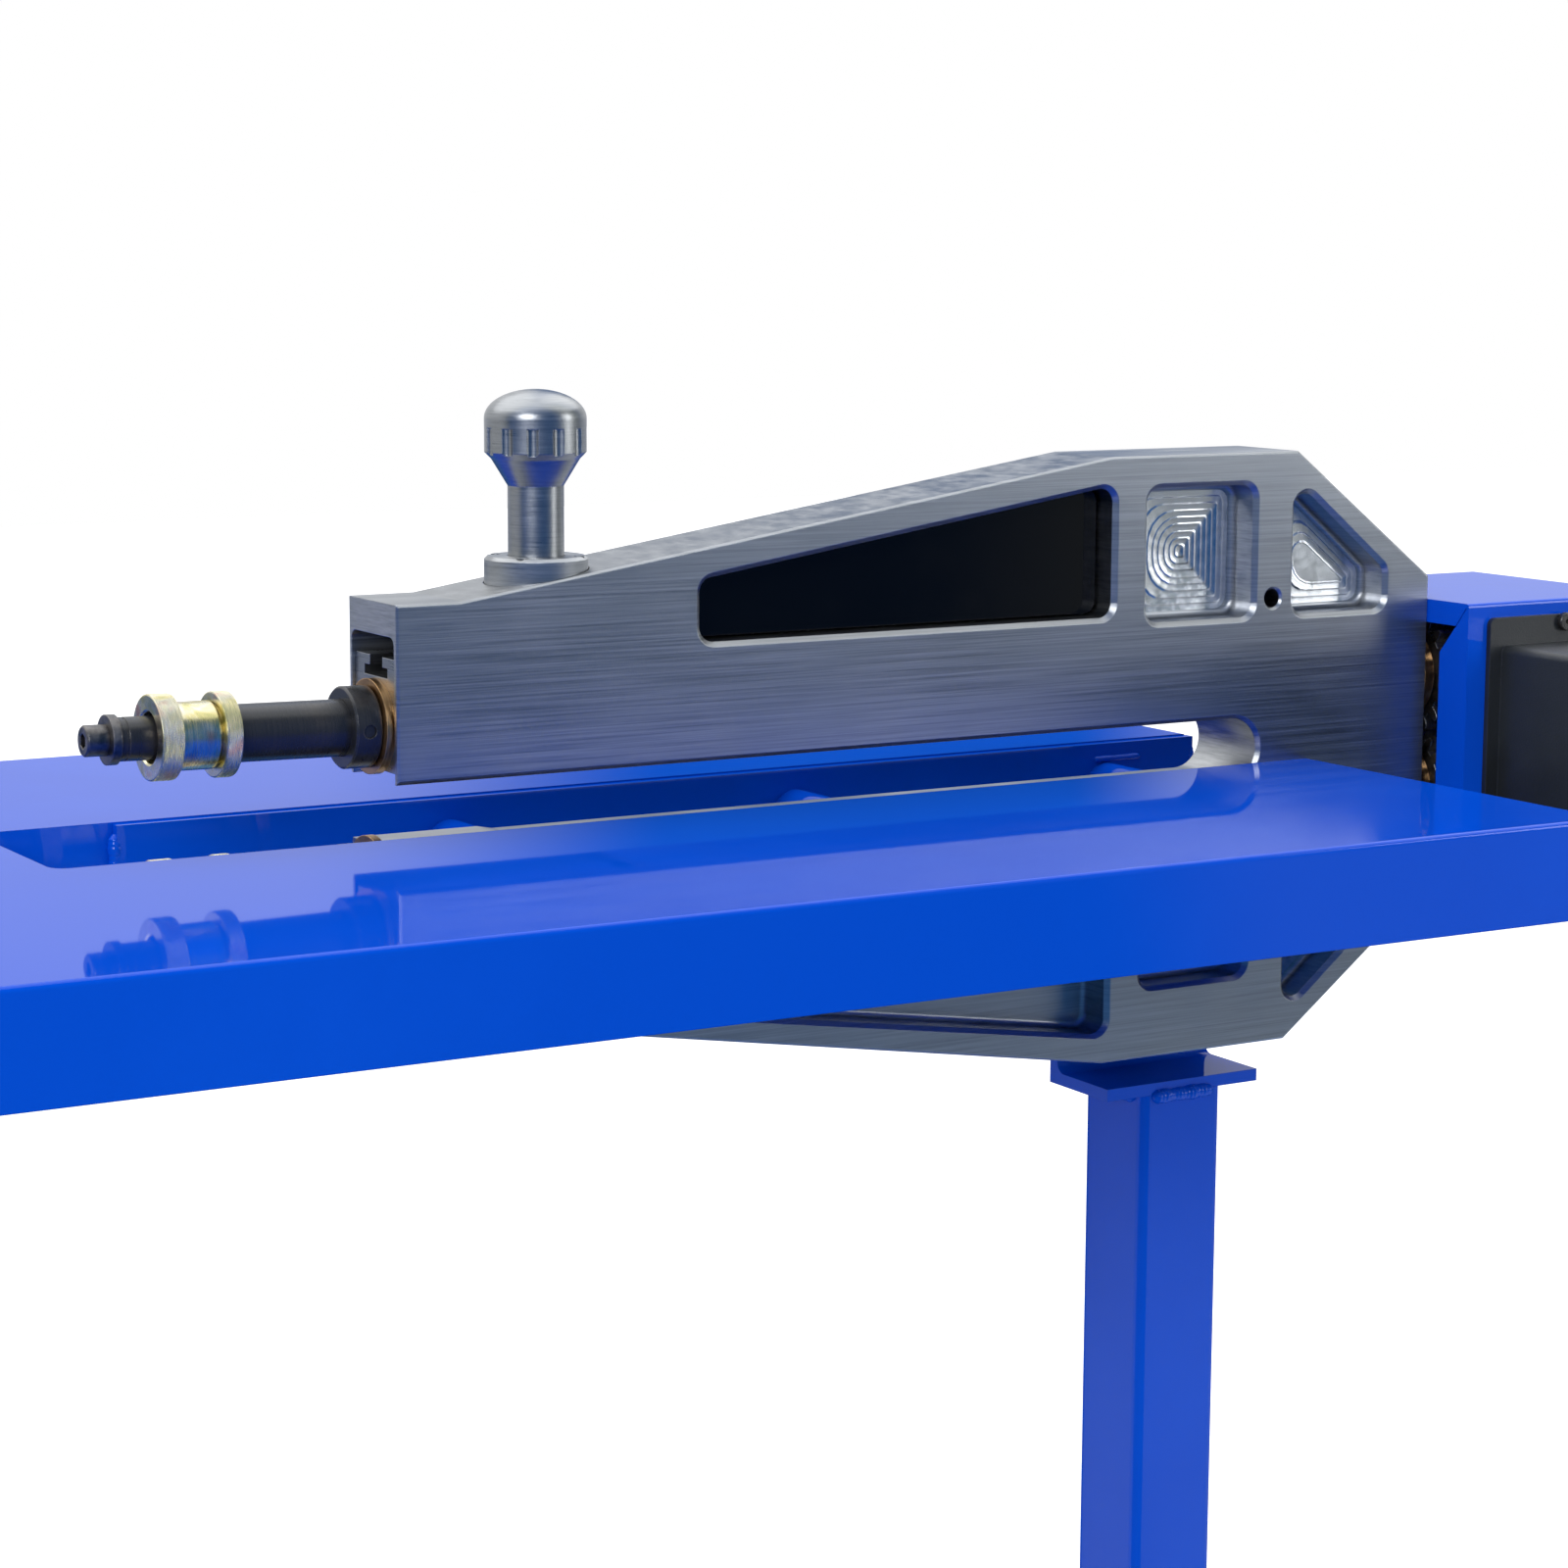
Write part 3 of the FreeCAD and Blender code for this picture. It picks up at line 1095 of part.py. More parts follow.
def make_bracket():
    """Angle welded on the post, with a leg behind the frame and a packing piece between them."""
    leg_y = (TUBE_HALF - BRACKET_T, TUBE_HALF)
    shelf = box(BRACKET_X, (-TUBE_HALF, TUBE_HALF), (BRACKET_Z, BRACKET_Z + BRACKET_T))
    leg = box(BRACKET_X, leg_y, (BRACKET_Z, BRACKET_Z + BRACKET_LEG))
    bracket = fused([shelf, leg])

    def is_root(edge):
        point = edge.Vertexes[0]
        return abs(point.Y - leg_y[0]) < 0.1 and abs(point.Z - BRACKET_Z - BRACKET_T) < 0.1

    bracket = bracket.makeFillet(BRACKET_ROOT, edges_along(bracket, (1, 0, 0), is_root))
    spacer = box(BRACKET_X, (BACK_Y, leg_y[0]), SPACER_Z)
    length = leg_y[1] - BACK_Y + BRACKET_BOLT_GRIP
    bolts = []
    for x in BRACKET_BOLT_X:
        seat = (x, leg_y[1], BRACKET_BOLT_Z)
        bolts.append(hex_bolt(seat, (0, -1, 0), BOLT_FLATS, BOLT_HEAD, BOLT_R, length))
    save("stand_bracket", cut_all(bracket, bolts))
    save("bracket_spacer", cut_all(spacer, bolts))
    save("bracket_bolts", *bolts)


def make_stand():
    across = (-TUBE_HALF, TUBE_HALF)
    rail_x = (BASE_X[0] + TUBE_HALF, BASE_X[1] - TUBE_HALF)
    save("post", square_tube(across, across, (TUBE, BRACKET_Z), (0, 0, 1)))
    save("base_rail", square_tube(rail_x, across, (0, TUBE), (1, 0, 0)))
    caps = []
    feet = []
    for x in BASE_X:
        foot = square_tube(about(x, TUBE_HALF), about(0, BASE_HALF_SPREAD), (0, TUBE), (0, 1, 0))
        for sign in (-1, 1):
            foot = foot.cut(rod((x, sign * ANCHOR_Y, -1), (0, 0, 1), ANCHOR_R, TUBE + 2))
            caps.append(end_cap(x, sign))
        feet.append(foot)
    save("base_feet", *feet)
    save("tube_end_caps", *caps)
    reach, height, land = GUSSET
    gussets = []
    for sign in (-1, 1):
        foot_x = sign * (TUBE_HALF + reach)
        outline = [(sign * TUBE_HALF, TUBE), (foot_x, TUBE), (foot_x, TUBE + land)]
        outline += [(sign * (TUBE_HALF + land), TUBE + height), (sign * TUBE_HALF, TUBE + height)]
        gussets.append(upright_plate(outline, -GUSSET_HALF_T, GUSSET_HALF_T))
    save("stand_gussets", *gussets)


def end_cap(x, sign):
    """Moulded plug in the open end of a foot tube."""
    head_half = TUBE_HALF - 0.2
    plug_half = TUBE_HALF - TUBE_WALL - 0.3
    end = sign * BASE_HALF_SPREAD
    head_y = sorted((end, end + sign * END_CAP_T))
    plug_y = sorted((end, end - sign * END_CAP_PLUG))
    head = rounded_box(about(x, head_half), head_y, about(TUBE_HALF, head_half), (0, 1, 0), TUBE_CORNER)
    plug = rounded_box(about(x, plug_half), plug_y, about(TUBE_HALF, plug_half), (0, 1, 0), TUBE_WALL)
    return fused([head, plug])


make_frame()
make_name_plate()
make_bearings()
make_bearing_block()
make_lift_stud()
make_head_cap()
make_adjuster_knob()
for shaft_name, shaft_z, shaft_end, bush_x, shaft_place in (
    ("upper", PIVOT_Z, GEAR_X[1] + SIDE_GAP, BLOCK_X[0], raised),
    ("lower", LOWER_AXIS_Z, LOWER_END_X, NOSE_X, stay),
):
    make_shaft(shaft_name, shaft_z, shaft_end, shaft_place, shaft_name == "lower")
    make_collar(shaft_name, shaft_z, bush_x, shaft_place)
    make_die_adjuster(shaft_name, shaft_z, shaft_place)
make_spur_gear("upper", PIVOT_Z, 180.0 / GEAR_TEETH, raised)
make_spur_gear("lower", LOWER_AXIS_Z, 0.0, stay)
make_worm_wheel()
make_worm()
make_guard()
make_table()
make_bracket()
make_stand()
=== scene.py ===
import json
import math

import bmesh
import bpy
from mathutils import Matrix, Vector


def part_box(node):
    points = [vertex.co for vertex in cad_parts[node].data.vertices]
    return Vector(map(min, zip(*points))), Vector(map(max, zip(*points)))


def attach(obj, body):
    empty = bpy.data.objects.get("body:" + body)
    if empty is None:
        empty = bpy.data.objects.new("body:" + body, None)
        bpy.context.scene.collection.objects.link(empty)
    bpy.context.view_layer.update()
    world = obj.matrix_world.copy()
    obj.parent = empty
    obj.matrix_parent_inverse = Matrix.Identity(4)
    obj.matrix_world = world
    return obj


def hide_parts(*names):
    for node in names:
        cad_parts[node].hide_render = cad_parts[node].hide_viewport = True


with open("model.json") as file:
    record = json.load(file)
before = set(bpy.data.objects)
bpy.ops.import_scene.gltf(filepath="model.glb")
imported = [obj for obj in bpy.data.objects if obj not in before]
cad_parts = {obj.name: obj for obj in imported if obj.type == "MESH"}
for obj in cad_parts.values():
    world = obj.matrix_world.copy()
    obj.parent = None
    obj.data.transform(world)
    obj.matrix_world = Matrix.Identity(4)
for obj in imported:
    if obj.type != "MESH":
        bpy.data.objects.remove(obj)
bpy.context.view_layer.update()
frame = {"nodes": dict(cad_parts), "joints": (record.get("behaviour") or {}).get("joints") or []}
nodes = frame["nodes"]

# Camera. It stands to the left of the die end, a little above the work table, and looks down along the
# arm, with a moderate telephoto lens.
LENS_MM = 82.48
CAMERA_AT = Vector((-1.1014, -1.4703, 1.3026))
AZIMUTH, LOOKING_DOWN, ROLL = (math.radians(a) for a in (-30.81, 8.69, 0.26))

back = Vector(
    (
        math.sin(AZIMUTH) * math.cos(LOOKING_DOWN),
        -math.cos(AZIMUTH) * math.cos(LOOKING_DOWN),
        math.sin(LOOKING_DOWN),
    )
)
level_right = Vector((0, 0, 1)).cross(back).normalized()
level_up = back.cross(level_right)
image_right = level_right * math.cos(ROLL) + level_up * math.sin(ROLL)
image_up = level_up * math.cos(ROLL) - level_right * math.sin(ROLL)

camera_data = bpy.data.cameras.new("camera")
camera_data.lens = LENS_MM
camera_data.sensor_width = 36.0
camera_data.sensor_fit = "HORIZONTAL"
camera_data.clip_start = 0.05
camera_data.clip_end = 60.0
camera = bpy.data.objects.new("camera", camera_data)
facing_way = Matrix((image_right, image_up, back)).transposed().to_4x4()
camera.matrix_world = Matrix.Translation(CAMERA_AT) @ facing_way
bpy.context.scene.collection.objects.link(camera)
bpy.context.scene.camera = camera
bpy.context.scene.view_settings.view_transform = "Standard"


# Studio. A pale floor, a large softbox overhead, a key light on the operator's side and a fill beyond the
# table. The camera sees a white sweep. The gloss sees white walls behind, and in front a bluish room and
# floor that turn grey towards the right.
def shade(tree, kind, sockets=None, **settings):
    """Adds a shader node, sets its options, and sets or links its inputs."""
    made = tree.nodes.new(kind)
    for name, value in settings.items():
        setattr(made, name, value)
    for socket, value in (sockets or {}).items():
        if isinstance(value, bpy.types.NodeSocket):
            tree.links.new(value, made.inputs[socket])
        else:
            made.inputs[socket].default_value = value
    return made


def area_light(name, at, aim, size, watts, colour=(1.0, 1.0, 1.0)):
    data = bpy.data.lights.new(name, "AREA")
    data.shape = "RECTANGLE"
    data.size, data.size_y = size
    data.energy = watts
    data.color = colour
    light = bpy.data.objects.new(name, data)
    aimed = (Vector(aim) - Vector(at)).to_track_quat("-Z", "Y").to_matrix().to_4x4()
    light.matrix_world = Matrix.Translation(at) @ aimed
    bpy.context.scene.collection.objects.link(light)
    return light


def soft_step(tree, value, start, end):
    """A soft step from 0 at start to 1 at end."""
    steps = {"Value": value, "From Min": start, "From Max": end}
    return shade(tree, "ShaderNodeMapRange", steps, interpolation_type="SMOOTHSTEP").outputs["Result"]


FLOOR_HALF = 14.0
FRONT_TURNS_GREY = (-0.62, -0.75)
floor_mesh = bpy.data.meshes.new("floor")
floor_corners = [(sx * FLOOR_HALF, sy * FLOOR_HALF, 0) for sx, sy in ((-1, -1), (1, -1), (1, 1), (-1, 1))]
floor_mesh.from_pydata(floor_corners, [], [(0, 1, 2, 3)])
floor = bpy.data.objects.new("floor", floor_mesh)
bpy.context.scene.collection.objects.link(floor)

floor_paint = bpy.data.materials.new("pale floor")
floor_paint.use_nodes = True
tree = floor_paint.node_tree
tree.nodes.clear()
rays = shade(tree, "ShaderNodeLightPath")
spot = shade(tree, "ShaderNodeNewGeometry")
place = shade(tree, "ShaderNodeSeparateXYZ", {"Vector": spot.outputs["Position"]})
aside = shade(tree, "ShaderNodeMath", {0: place.outputs["X"], 1: place.outputs["Y"]}, operation="DIVIDE")
greyer = soft_step(tree, aside.outputs[0], *FRONT_TURNS_GREY)
mirrored_floor = shade(
    tree,
    "ShaderNodeMix",
    {"Factor": greyer, "A": (0.06, 0.17, 0.42, 1), "B": (0.62, 0.66, 0.66, 1)},
    data_type="RGBA",
)
floor_tone = shade(
    tree,
    "ShaderNodeMix",
    {
        "Factor": rays.outputs["Is Glossy Ray"],
        "A": (0.62, 0.62, 0.63, 1),
        "B": mirrored_floor.outputs["Result"],
    },
    data_type="RGBA",
)
lit = shade(tree, "ShaderNodeBsdfDiffuse", {"Color": floor_tone.outputs["Result"]})
distance = shade(tree, "ShaderNodeVectorMath", {0: spot.outputs["Position"]}, operation="LENGTH")
brighter = shade(
    tree,
    "ShaderNodeMapRange",
    {"Value": distance.outputs["Value"], "From Min": 1.5, "From Max": 3.0, "To Min": 0.70, "To Max": 1.0},
    interpolation_type="SMOOTHSTEP",
)
glow = shade(tree, "ShaderNodeEmission", {"Color": (1, 1, 1, 1), "Strength": brighter.outputs["Result"]})
seen = shade(tree, "ShaderNodeAddShader")
tree.links.new(lit.outputs[0], seen.inputs[0])
tree.links.new(glow.outputs[0], seen.inputs[1])
by_ray = shade(tree, "ShaderNodeMixShader", {"Fac": rays.outputs["Is Camera Ray"]})
tree.links.new(lit.outputs[0], by_ray.inputs[1])
tree.links.new(seen.outputs[0], by_ray.inputs[2])
shade(tree, "ShaderNodeOutputMaterial", {"Surface": by_ray.outputs[0]})
floor.data.materials.append(floor_paint)

ROOM_AMBIENT = 0.55
room = bpy.data.worlds.new("studio")
room.use_nodes = True
bpy.context.scene.world = room
tree = room.node_tree
tree.nodes.clear()
rays = shade(tree, "ShaderNodeLightPath")
direction = shade(tree, "ShaderNodeTexCoord")
axes = shade(tree, "ShaderNodeSeparateXYZ", {"Vector": direction.outputs["Generated"]})
aside = shade(tree, "ShaderNodeMath", {0: axes.outputs["X"], 1: axes.outputs["Y"]}, operation="DIVIDE")
left_wall = soft_step(tree, aside.outputs[0], 0.555, 0.42)
right_wall = soft_step(tree, aside.outputs[0], 0.71, 0.80)
walls = shade(tree, "ShaderNodeMath", {0: left_wall, 1: right_wall}, operation="MAXIMUM")
behind = soft_step(tree, axes.outputs["Y"], -0.05, 0.30)
lit_walls = shade(tree, "ShaderNodeMath", {0: walls.outputs[0], 1: behind}, operation="MULTIPLY")
greyer = soft_step(tree, aside.outputs[0], *FRONT_TURNS_GREY)
front_tone = shade(
    tree,
    "ShaderNodeMix",
    {"Factor": greyer, "A": (0.02, 0.12, 0.34, 1), "B": (0.20, 0.24, 0.24, 1)},
    data_type="RGBA",
)
room_tone = shade(
    tree,
    "ShaderNodeMix",
    {"Factor": lit_walls.outputs[0], "A": front_tone.outputs["Result"], "B": (0.85, 0.87, 0.90, 1)},
    data_type="RGBA",
)
ambient = shade(tree, "ShaderNodeBackground", {"Color": (1, 1, 1, 1), "Strength": ROOM_AMBIENT})
mirrored = shade(tree, "ShaderNodeBackground", {"Color": room_tone.outputs["Result"], "Strength": 1.0})
white = shade(tree, "ShaderNodeBackground", {"Color": (1, 1, 1, 1), "Strength": 1.0})
for_gloss = shade(tree, "ShaderNodeMixShader", {"Fac": rays.outputs["Is Glossy Ray"]})
tree.links.new(ambient.outputs[0], for_gloss.inputs[1])
tree.links.new(mirrored.outputs[0], for_gloss.inputs[2])
for_camera = shade(tree, "ShaderNodeMixShader", {"Fac": rays.outputs["Is Camera Ray"]})
tree.links.new(for_gloss.outputs[0], for_camera.inputs[1])
tree.links.new(white.outputs[0], for_camera.inputs[2])
shade(tree, "ShaderNodeOutputWorld", {"Surface": for_camera.outputs[0]})

AIM = (-0.15, 0.0, 1.05)
area_light("overhead softbox", (-0.1, 0.5, 3.0), AIM, (5.0, 3.2), 66)
area_light("key softbox", (-2.6, -2.2, 2.5), AIM, (1.6, 1.6), 70)
area_light("right strip", (2.2, -2.0, 1.9), AIM, (0.7, 1.8), 26)
far_fill = area_light("far fill", (0.6, 2.8, 1.8), AIM, (2.4, 1.4), 30)
far_fill.visible_glossy = False


# Blue sheet steel and tube: the work table, its bar and spacers, the rear guard, the bracket, the post and
# the base. It is cut and bent steel under a thick, glossy powder coat with a faint orange peel.
BLUE = (0.0005, 0.060, 0.53, 1)


def new_group(name, inputs, outputs):
    """A shader node group with its named inputs and outputs, as (tree, group input, group output)."""
    group = bpy.data.node_groups.new(name, "ShaderNodeTree")
    kinds = {"float": "NodeSocketFloat", "vector": "NodeSocketVector", "colour": "NodeSocketColor"}
    for socket, kind, value in inputs:
        made = group.interface.new_socket(socket, in_out="INPUT", socket_type=kinds[kind])
        if value is not None:
            made.default_value = value
    for socket, kind in outputs:
        group.interface.new_socket(socket, in_out="OUTPUT", socket_type=kinds[kind])
    return group, group.nodes.new("NodeGroupInput"), group.nodes.new("NodeGroupOutput")


def place_group(tree, group, sockets):
    """Places a shader group in a material, with its inputs set or linked."""
    made = shade(tree, "ShaderNodeGroup", node_tree=group)
    for socket, value in sockets.items():
        if isinstance(value, bpy.types.NodeSocket):
            tree.links.new(value, made.inputs[socket])
        else:
            made.inputs[socket].default_value = value
    return made


def new_material(name):
    """A material with a Principled BSDF, as (material, tree, BSDF, object coordinates)."""
    material = bpy.data.materials.new(name)
    material.use_nodes = True
    tree = material.node_tree
    tree.nodes.clear()
    surface = shade(tree, "ShaderNodeBsdfPrincipled")
    shade(tree, "ShaderNodeOutputMaterial", {"Surface": surface.outputs[0]})
    place = shade(tree, "ShaderNodeTexCoord").outputs["Object"]
    return material, tree, surface, place


def link(tree, output, socket):
    tree.links.new(output, socket)


def finish_node(name, material):
    """Gives a CAD node its finished material."""
    mesh = nodes[name].data
    if mesh.materials:
        mesh.materials[0] = material
    else:
        mesh.materials.append(material)


# The edge group finds outside edges: a mask that is 1 on them, and the normal of a slightly rounded edge.
edges, into, out = new_group(
    "worn edges", [("Radius", "float", 0.0006), ("Vector", "vector", None)], [
        ("Mask", "float"), ("Normal", "vector")
    ]
)
rounded = shade(edges, "ShaderNodeBevel", {"Radius": into.outputs["Radius"]}, samples=4)
flat = shade(edges, "ShaderNodeNewGeometry")
facing = shade(
    edges,
    "ShaderNodeVectorMath",
    {0: rounded.outputs["Normal"], 1: flat.outputs["Normal"]},
    operation="DOT_PRODUCT",
)
turned = shade(
    edges, "ShaderNodeMapRange", {
        "Value": facing.outputs["Value"], "From Min": 0.995, "From Max": 0.8, "To Min": 0.0, "To Max": 1.0
    }
)
patches = shade(edges, "ShaderNodeTexNoise", {"Vector": into.outputs["Vector"], "Scale": 90.0, "Detail": 3.0})
broken = shade(
    edges, "ShaderNodeMath", {0: turned.outputs["Result"], 1: patches.outputs["Fac"]}, operation="MULTIPLY"
)
link(edges, broken.outputs[0], out.inputs["Mask"])
link(edges, rounded.outputs["Normal"], out.inputs["Normal"])

# The smudge group is the faint uneven film of handling: a soft mask between 0 and 1.
smudges, into, out = new_group(
    "handling film", [("Vector", "vector", None), ("Scale", "float", 7.0)], [("Mask", "float")]
)
cloud = shade(
    smudges, "ShaderNodeTexNoise", {
        "Vector": into.outputs["Vector"], "Scale": into.outputs["Scale"], "Detail": 4.0, "Roughness": 0.55
    }
)
film = shade(
    smudges,
    "ShaderNodeMapRange",
    {"Value": cloud.outputs["Fac"], "From Min": 0.42, "From Max": 0.68},
    interpolation_type="SMOOTHSTEP",
)
link(smudges, film.outputs["Result"], out.inputs["Mask"])

blue_coat, tree, surface, place = new_material("blue powder coat")
edge = place_group(tree, edges, {"Radius": 0.0008, "Vector": place})
film = place_group(tree, smudges, {"Vector": place, "Scale": 5.0})
peel = shade(tree, "ShaderNodeTexNoise", {"Vector": place, "Scale": 260.0, "Detail": 2.0, "Roughness": 0.4})
grain = shade(tree, "ShaderNodeTexNoise", {"Vector": place, "Scale": 2400.0, "Detail": 1.0})
skin = shade(
    tree,
    "ShaderNodeMath",
    {0: grain.outputs["Fac"], 1: 0.12, 2: peel.outputs["Fac"]},
    operation="MULTIPLY_ADD",
)
relief = shade(
    tree, "ShaderNodeBump", {
        "Height": skin.outputs[0], "Distance": 0.00035, "Strength": 0.05, "Normal": edge.outputs["Normal"]
    }
)
tone = shade(
    tree,
    "ShaderNodeMix",
    {"Factor": film.outputs["Mask"], "A": BLUE, "B": (0.0012, 0.066, 0.56, 1)},
    data_type="RGBA",
)
sheen = shade(tree, "ShaderNodeMapRange", {"Value": film.outputs["Mask"], "To Min": 0.22, "To Max": 0.30})
link(tree, tone.outputs["Result"], surface.inputs["Base Color"])
link(tree, sheen.outputs["Result"], surface.inputs["Roughness"])
link(tree, relief.outputs["Normal"], surface.inputs["Normal"])
surface.inputs["Specular IOR Level"].default_value = 0.0
surface.inputs["Coat Weight"].default_value = 0.6
surface.inputs["Coat Roughness"].default_value = 0.035
surface.inputs["IOR"].default_value = 1.45

for name in (
    "table_top",
    "table_bar",
    "table_spacers",
    "rear_guard",
    "guard_cover",
    "stand_bracket",
    "post",
    "base_rail",
    "base_feet",
    "stand_gussets",
):
    finish_node(name, blue_coat)


# Welds. The bracket, the bar and the base are joined by hand-laid beads, painted over with the rest. Each
# bead is a row of overlapping ripples, half sunk into the joint.
def add_object(name, bm, material, body, smooth=True):
    """Makes an object from a finished bmesh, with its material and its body."""
    for face in bm.faces:
        face.smooth = smooth
    mesh = bpy.data.meshes.new(name)
    bmesh.ops.recalc_face_normals(bm, faces=bm.faces)
    bm.to_mesh(mesh)
    bm.free()
    mesh.materials.append(material)
    made = bpy.data.objects.new(name, mesh)
    bpy.context.scene.collection.objects.link(made)
    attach(made, body)
    return made


def weld_bead(bm, start, end, radius, pitch=0.0022):
    """One straight bead between two points, with a ripple every pitch and rounded ends."""
    start, end = Vector(start), Vector(end)
    along = (end - start).normalized()
    side = along.orthogonal().normalized()
    across = along.cross(side)
    length = (end - start).length
    steps_per_ripple = 4
    steps = max(8, round(length / pitch) * steps_per_ripple)
    sides = 12
    rings = []
    for i in range(steps + 1):
        s = length * i / steps
        ends = min(1.0, math.sqrt(max(0.0, min(s, length - s) / radius)) + 0.05)
        ripple = 1.0 + 0.10 * (1.0 - abs(2.0 * ((s / pitch) % 1.0) - 1.0))
        wander = 1.0 + 0.07 * math.sin(s * 310.0) + 0.05 * math.sin(s * 770.0 + 1.3)
        r = radius * ends * ripple * wander
        centre = start + along * s
        ring = []
        for k in range(sides):
            angle = 2 * math.pi * k / sides
            ring.append(bm.verts.new(centre + (side * math.cos(angle) + across * math.sin(angle)) * r))
        rings.append(ring)
    for near, far in zip(rings, rings[1:]):
        for k in range(sides):
            bm.faces.new((near[k], near[(k + 1) % sides], far[(k + 1) % sides], far[k]))
    bm.faces.new(rings[0])
    bm.faces.new(rings[-1])


def beads_round(bm, low, high, z, radius, sides="-x+x-y+y"):
    """Beads along the chosen sides of a rectangle at height z."""
    inset = 0.006
    runs = {
        "-y": ((low.x + inset, low.y, z), (high.x - inset, low.y, z)),
        "+y": ((low.x + inset, high.y, z), (high.x - inset, high.y, z)),
        "-x": ((low.x, low.y + inset, z), (low.x, high.y - inset, z)),
        "+x": ((high.x, low.y + inset, z), (high.x, high.y - inset, z)),
    }
    for side in (sides[i : i + 2] for i in range(0, len(sides), 2)):
        weld_bead(bm, *runs[side], radius)


post_low, post_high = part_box("post")
bar_low, bar_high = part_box("table_bar")
rail_low, rail_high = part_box("base_rail")
gusset_low, gusset_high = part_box("stand_gussets")

bm = bmesh.new()
beads_round(bm, post_low, post_high, post_high.z - 0.001, 0.0034)
beads_round(bm, post_low, post_high, post_low.z + 0.001, 0.0040)
for x in (bar_low.x, bar_high.x - 0.001):
    weld_bead(
        bm, (x, bar_high.y - 0.003, bar_low.z + 0.002), (x, bar_high.y - 0.003, bar_high.z - 0.004), 0.0030
    )
BAR_BEAD_X = (-0.0076, 0.0224)
BAR_BEAD_DROP = 0.008
BAR_BEAD_R = 0.0016
bead_from, bead_to = (Vector((x, bar_low.y, bar_high.z - BAR_BEAD_DROP)) for x in BAR_BEAD_X)
weld_bead(bm, bead_from, bead_to, BAR_BEAD_R)
for x in (rail_low.x, rail_high.x):
    for y in (rail_low.y, rail_high.y):
        weld_bead(bm, (x, y, 0.007), (x, y, rail_high.z - 0.007), 0.0034)
    weld_bead(bm, (x, rail_low.y + 0.006, rail_high.z), (x, rail_high.y - 0.006, rail_high.z), 0.0034)
for side in (-1, 1):
    for y in (gusset_low.y, gusset_high.y):
        x = post_high.x * side
        weld_bead(bm, (x, y, rail_high.z + 0.008), (x, y, gusset_high.z - 0.004), 0.0030)
        weld_bead(
            bm, (x + side * 0.008, y, rail_high.z), (gusset_high.x * side * 0.99, y, rail_high.z), 0.0030
        )
add_object("weld_beads", bm, blue_coat, "frame")


# Billet frame. It is milled from one aluminium plate: the flanks are fly-cut along the arm, the pocket
# floors keep the stepped rings of the cutter's path, and every edge has a small bright chamfer.

# The line group is the grain that a cutter, belt or lathe leaves: fine lines, long in one direction.
lines, into, out = new_group(
    "machining lines",
    [("Vector", "vector", None), ("Stretch", "vector", (1, 1, 1)), ("Fine", "float", 1.0)],
    [("Height", "float"), ("Shade", "float")],
)
stretched = shade(
    lines,
    "ShaderNodeVectorMath",
    {0: into.outputs["Vector"], 1: into.outputs["Stretch"]},
    operation="MULTIPLY",
)
coarse = shade(
    lines,
    "ShaderNodeTexNoise",
    {"Vector": stretched.outputs[0], "Scale": 1.0, "Detail": 5.0, "Roughness": 0.65},
)
fine = shade(
    lines, "ShaderNodeTexNoise", {
        "Vector": stretched.outputs[0], "Scale": 4.3, "Detail": 2.0, "Roughness": 0.7
    }
)
both = shade(
    lines,
    "ShaderNodeMath",
    {0: fine.outputs["Fac"], 1: into.outputs["Fine"], 2: coarse.outputs["Fac"]},
    operation="MULTIPLY_ADD",
)
contrast = shade(
    lines, "ShaderNodeMapRange", {"Value": coarse.outputs["Fac"], "From Min": 0.33, "From Max": 0.67}
)
link(lines, both.outputs[0], out.inputs["Height"])
link(lines, contrast.outputs["Result"], out.inputs["Shade"])


def machined(
    name, dark, light, rough, stretch, line_strength, anisotropy=0.0, grain_axis=None, radius=0.0006
):
    """A bare or plated metal with machining lines between two tones and two roughnesses."""
    material, tree, surface, place = new_material(name)
    edge = place_group(tree, edges, {"Radius": radius, "Vector": place})
    grain = place_group(tree, lines, {"Vector": place, "Stretch": stretch, "Fine": 0.6})
    film = place_group(tree, smudges, {"Vector": place, "Scale": 22.0})
    tone = shade(
        tree, "ShaderNodeMix", {"Factor": grain.outputs["Shade"], "A": dark, "B": light}, data_type="RGBA"
    )
    bright = tuple(min(1.0, c * 1.25) for c in light[:3]) + (1,)
    worn = shade(
        tree,
        "ShaderNodeMix",
        {"Factor": edge.outputs["Mask"], "A": tone.outputs["Result"], "B": bright},
        data_type="RGBA",
    )
    gloss = shade(
        tree, "ShaderNodeMapRange", {"Value": grain.outputs["Shade"], "To Min": rough[0], "To Max": rough[1]}
    )
    dulled = shade(
        tree,
        "ShaderNodeMath",
        {0: film.outputs["Mask"], 1: 0.05, 2: gloss.outputs["Result"]},
        operation="MULTIPLY_ADD",
    )
    relief = shade(
        tree,
        "ShaderNodeBump",
        {
            "Height": grain.outputs["Height"],
            "Distance": 0.0001,
            "Strength": line_strength,
            "Normal": edge.outputs["Normal"],
        },
    )
    link(tree, worn.outputs["Result"], surface.inputs["Base Color"])
    link(tree, dulled.outputs[0], surface.inputs["Roughness"])
    link(tree, relief.outputs["Normal"], surface.inputs["Normal"])
    surface.inputs["Metallic"].default_value = 1.0
    if anisotropy:
        surface.inputs["Anisotropic"].default_value = anisotropy
        grain_direction = shade(tree, "ShaderNodeCombineXYZ", dict(zip("XYZ", grain_axis)))
        link(tree, grain_direction.outputs[0], surface.inputs["Tangent"])
    return material


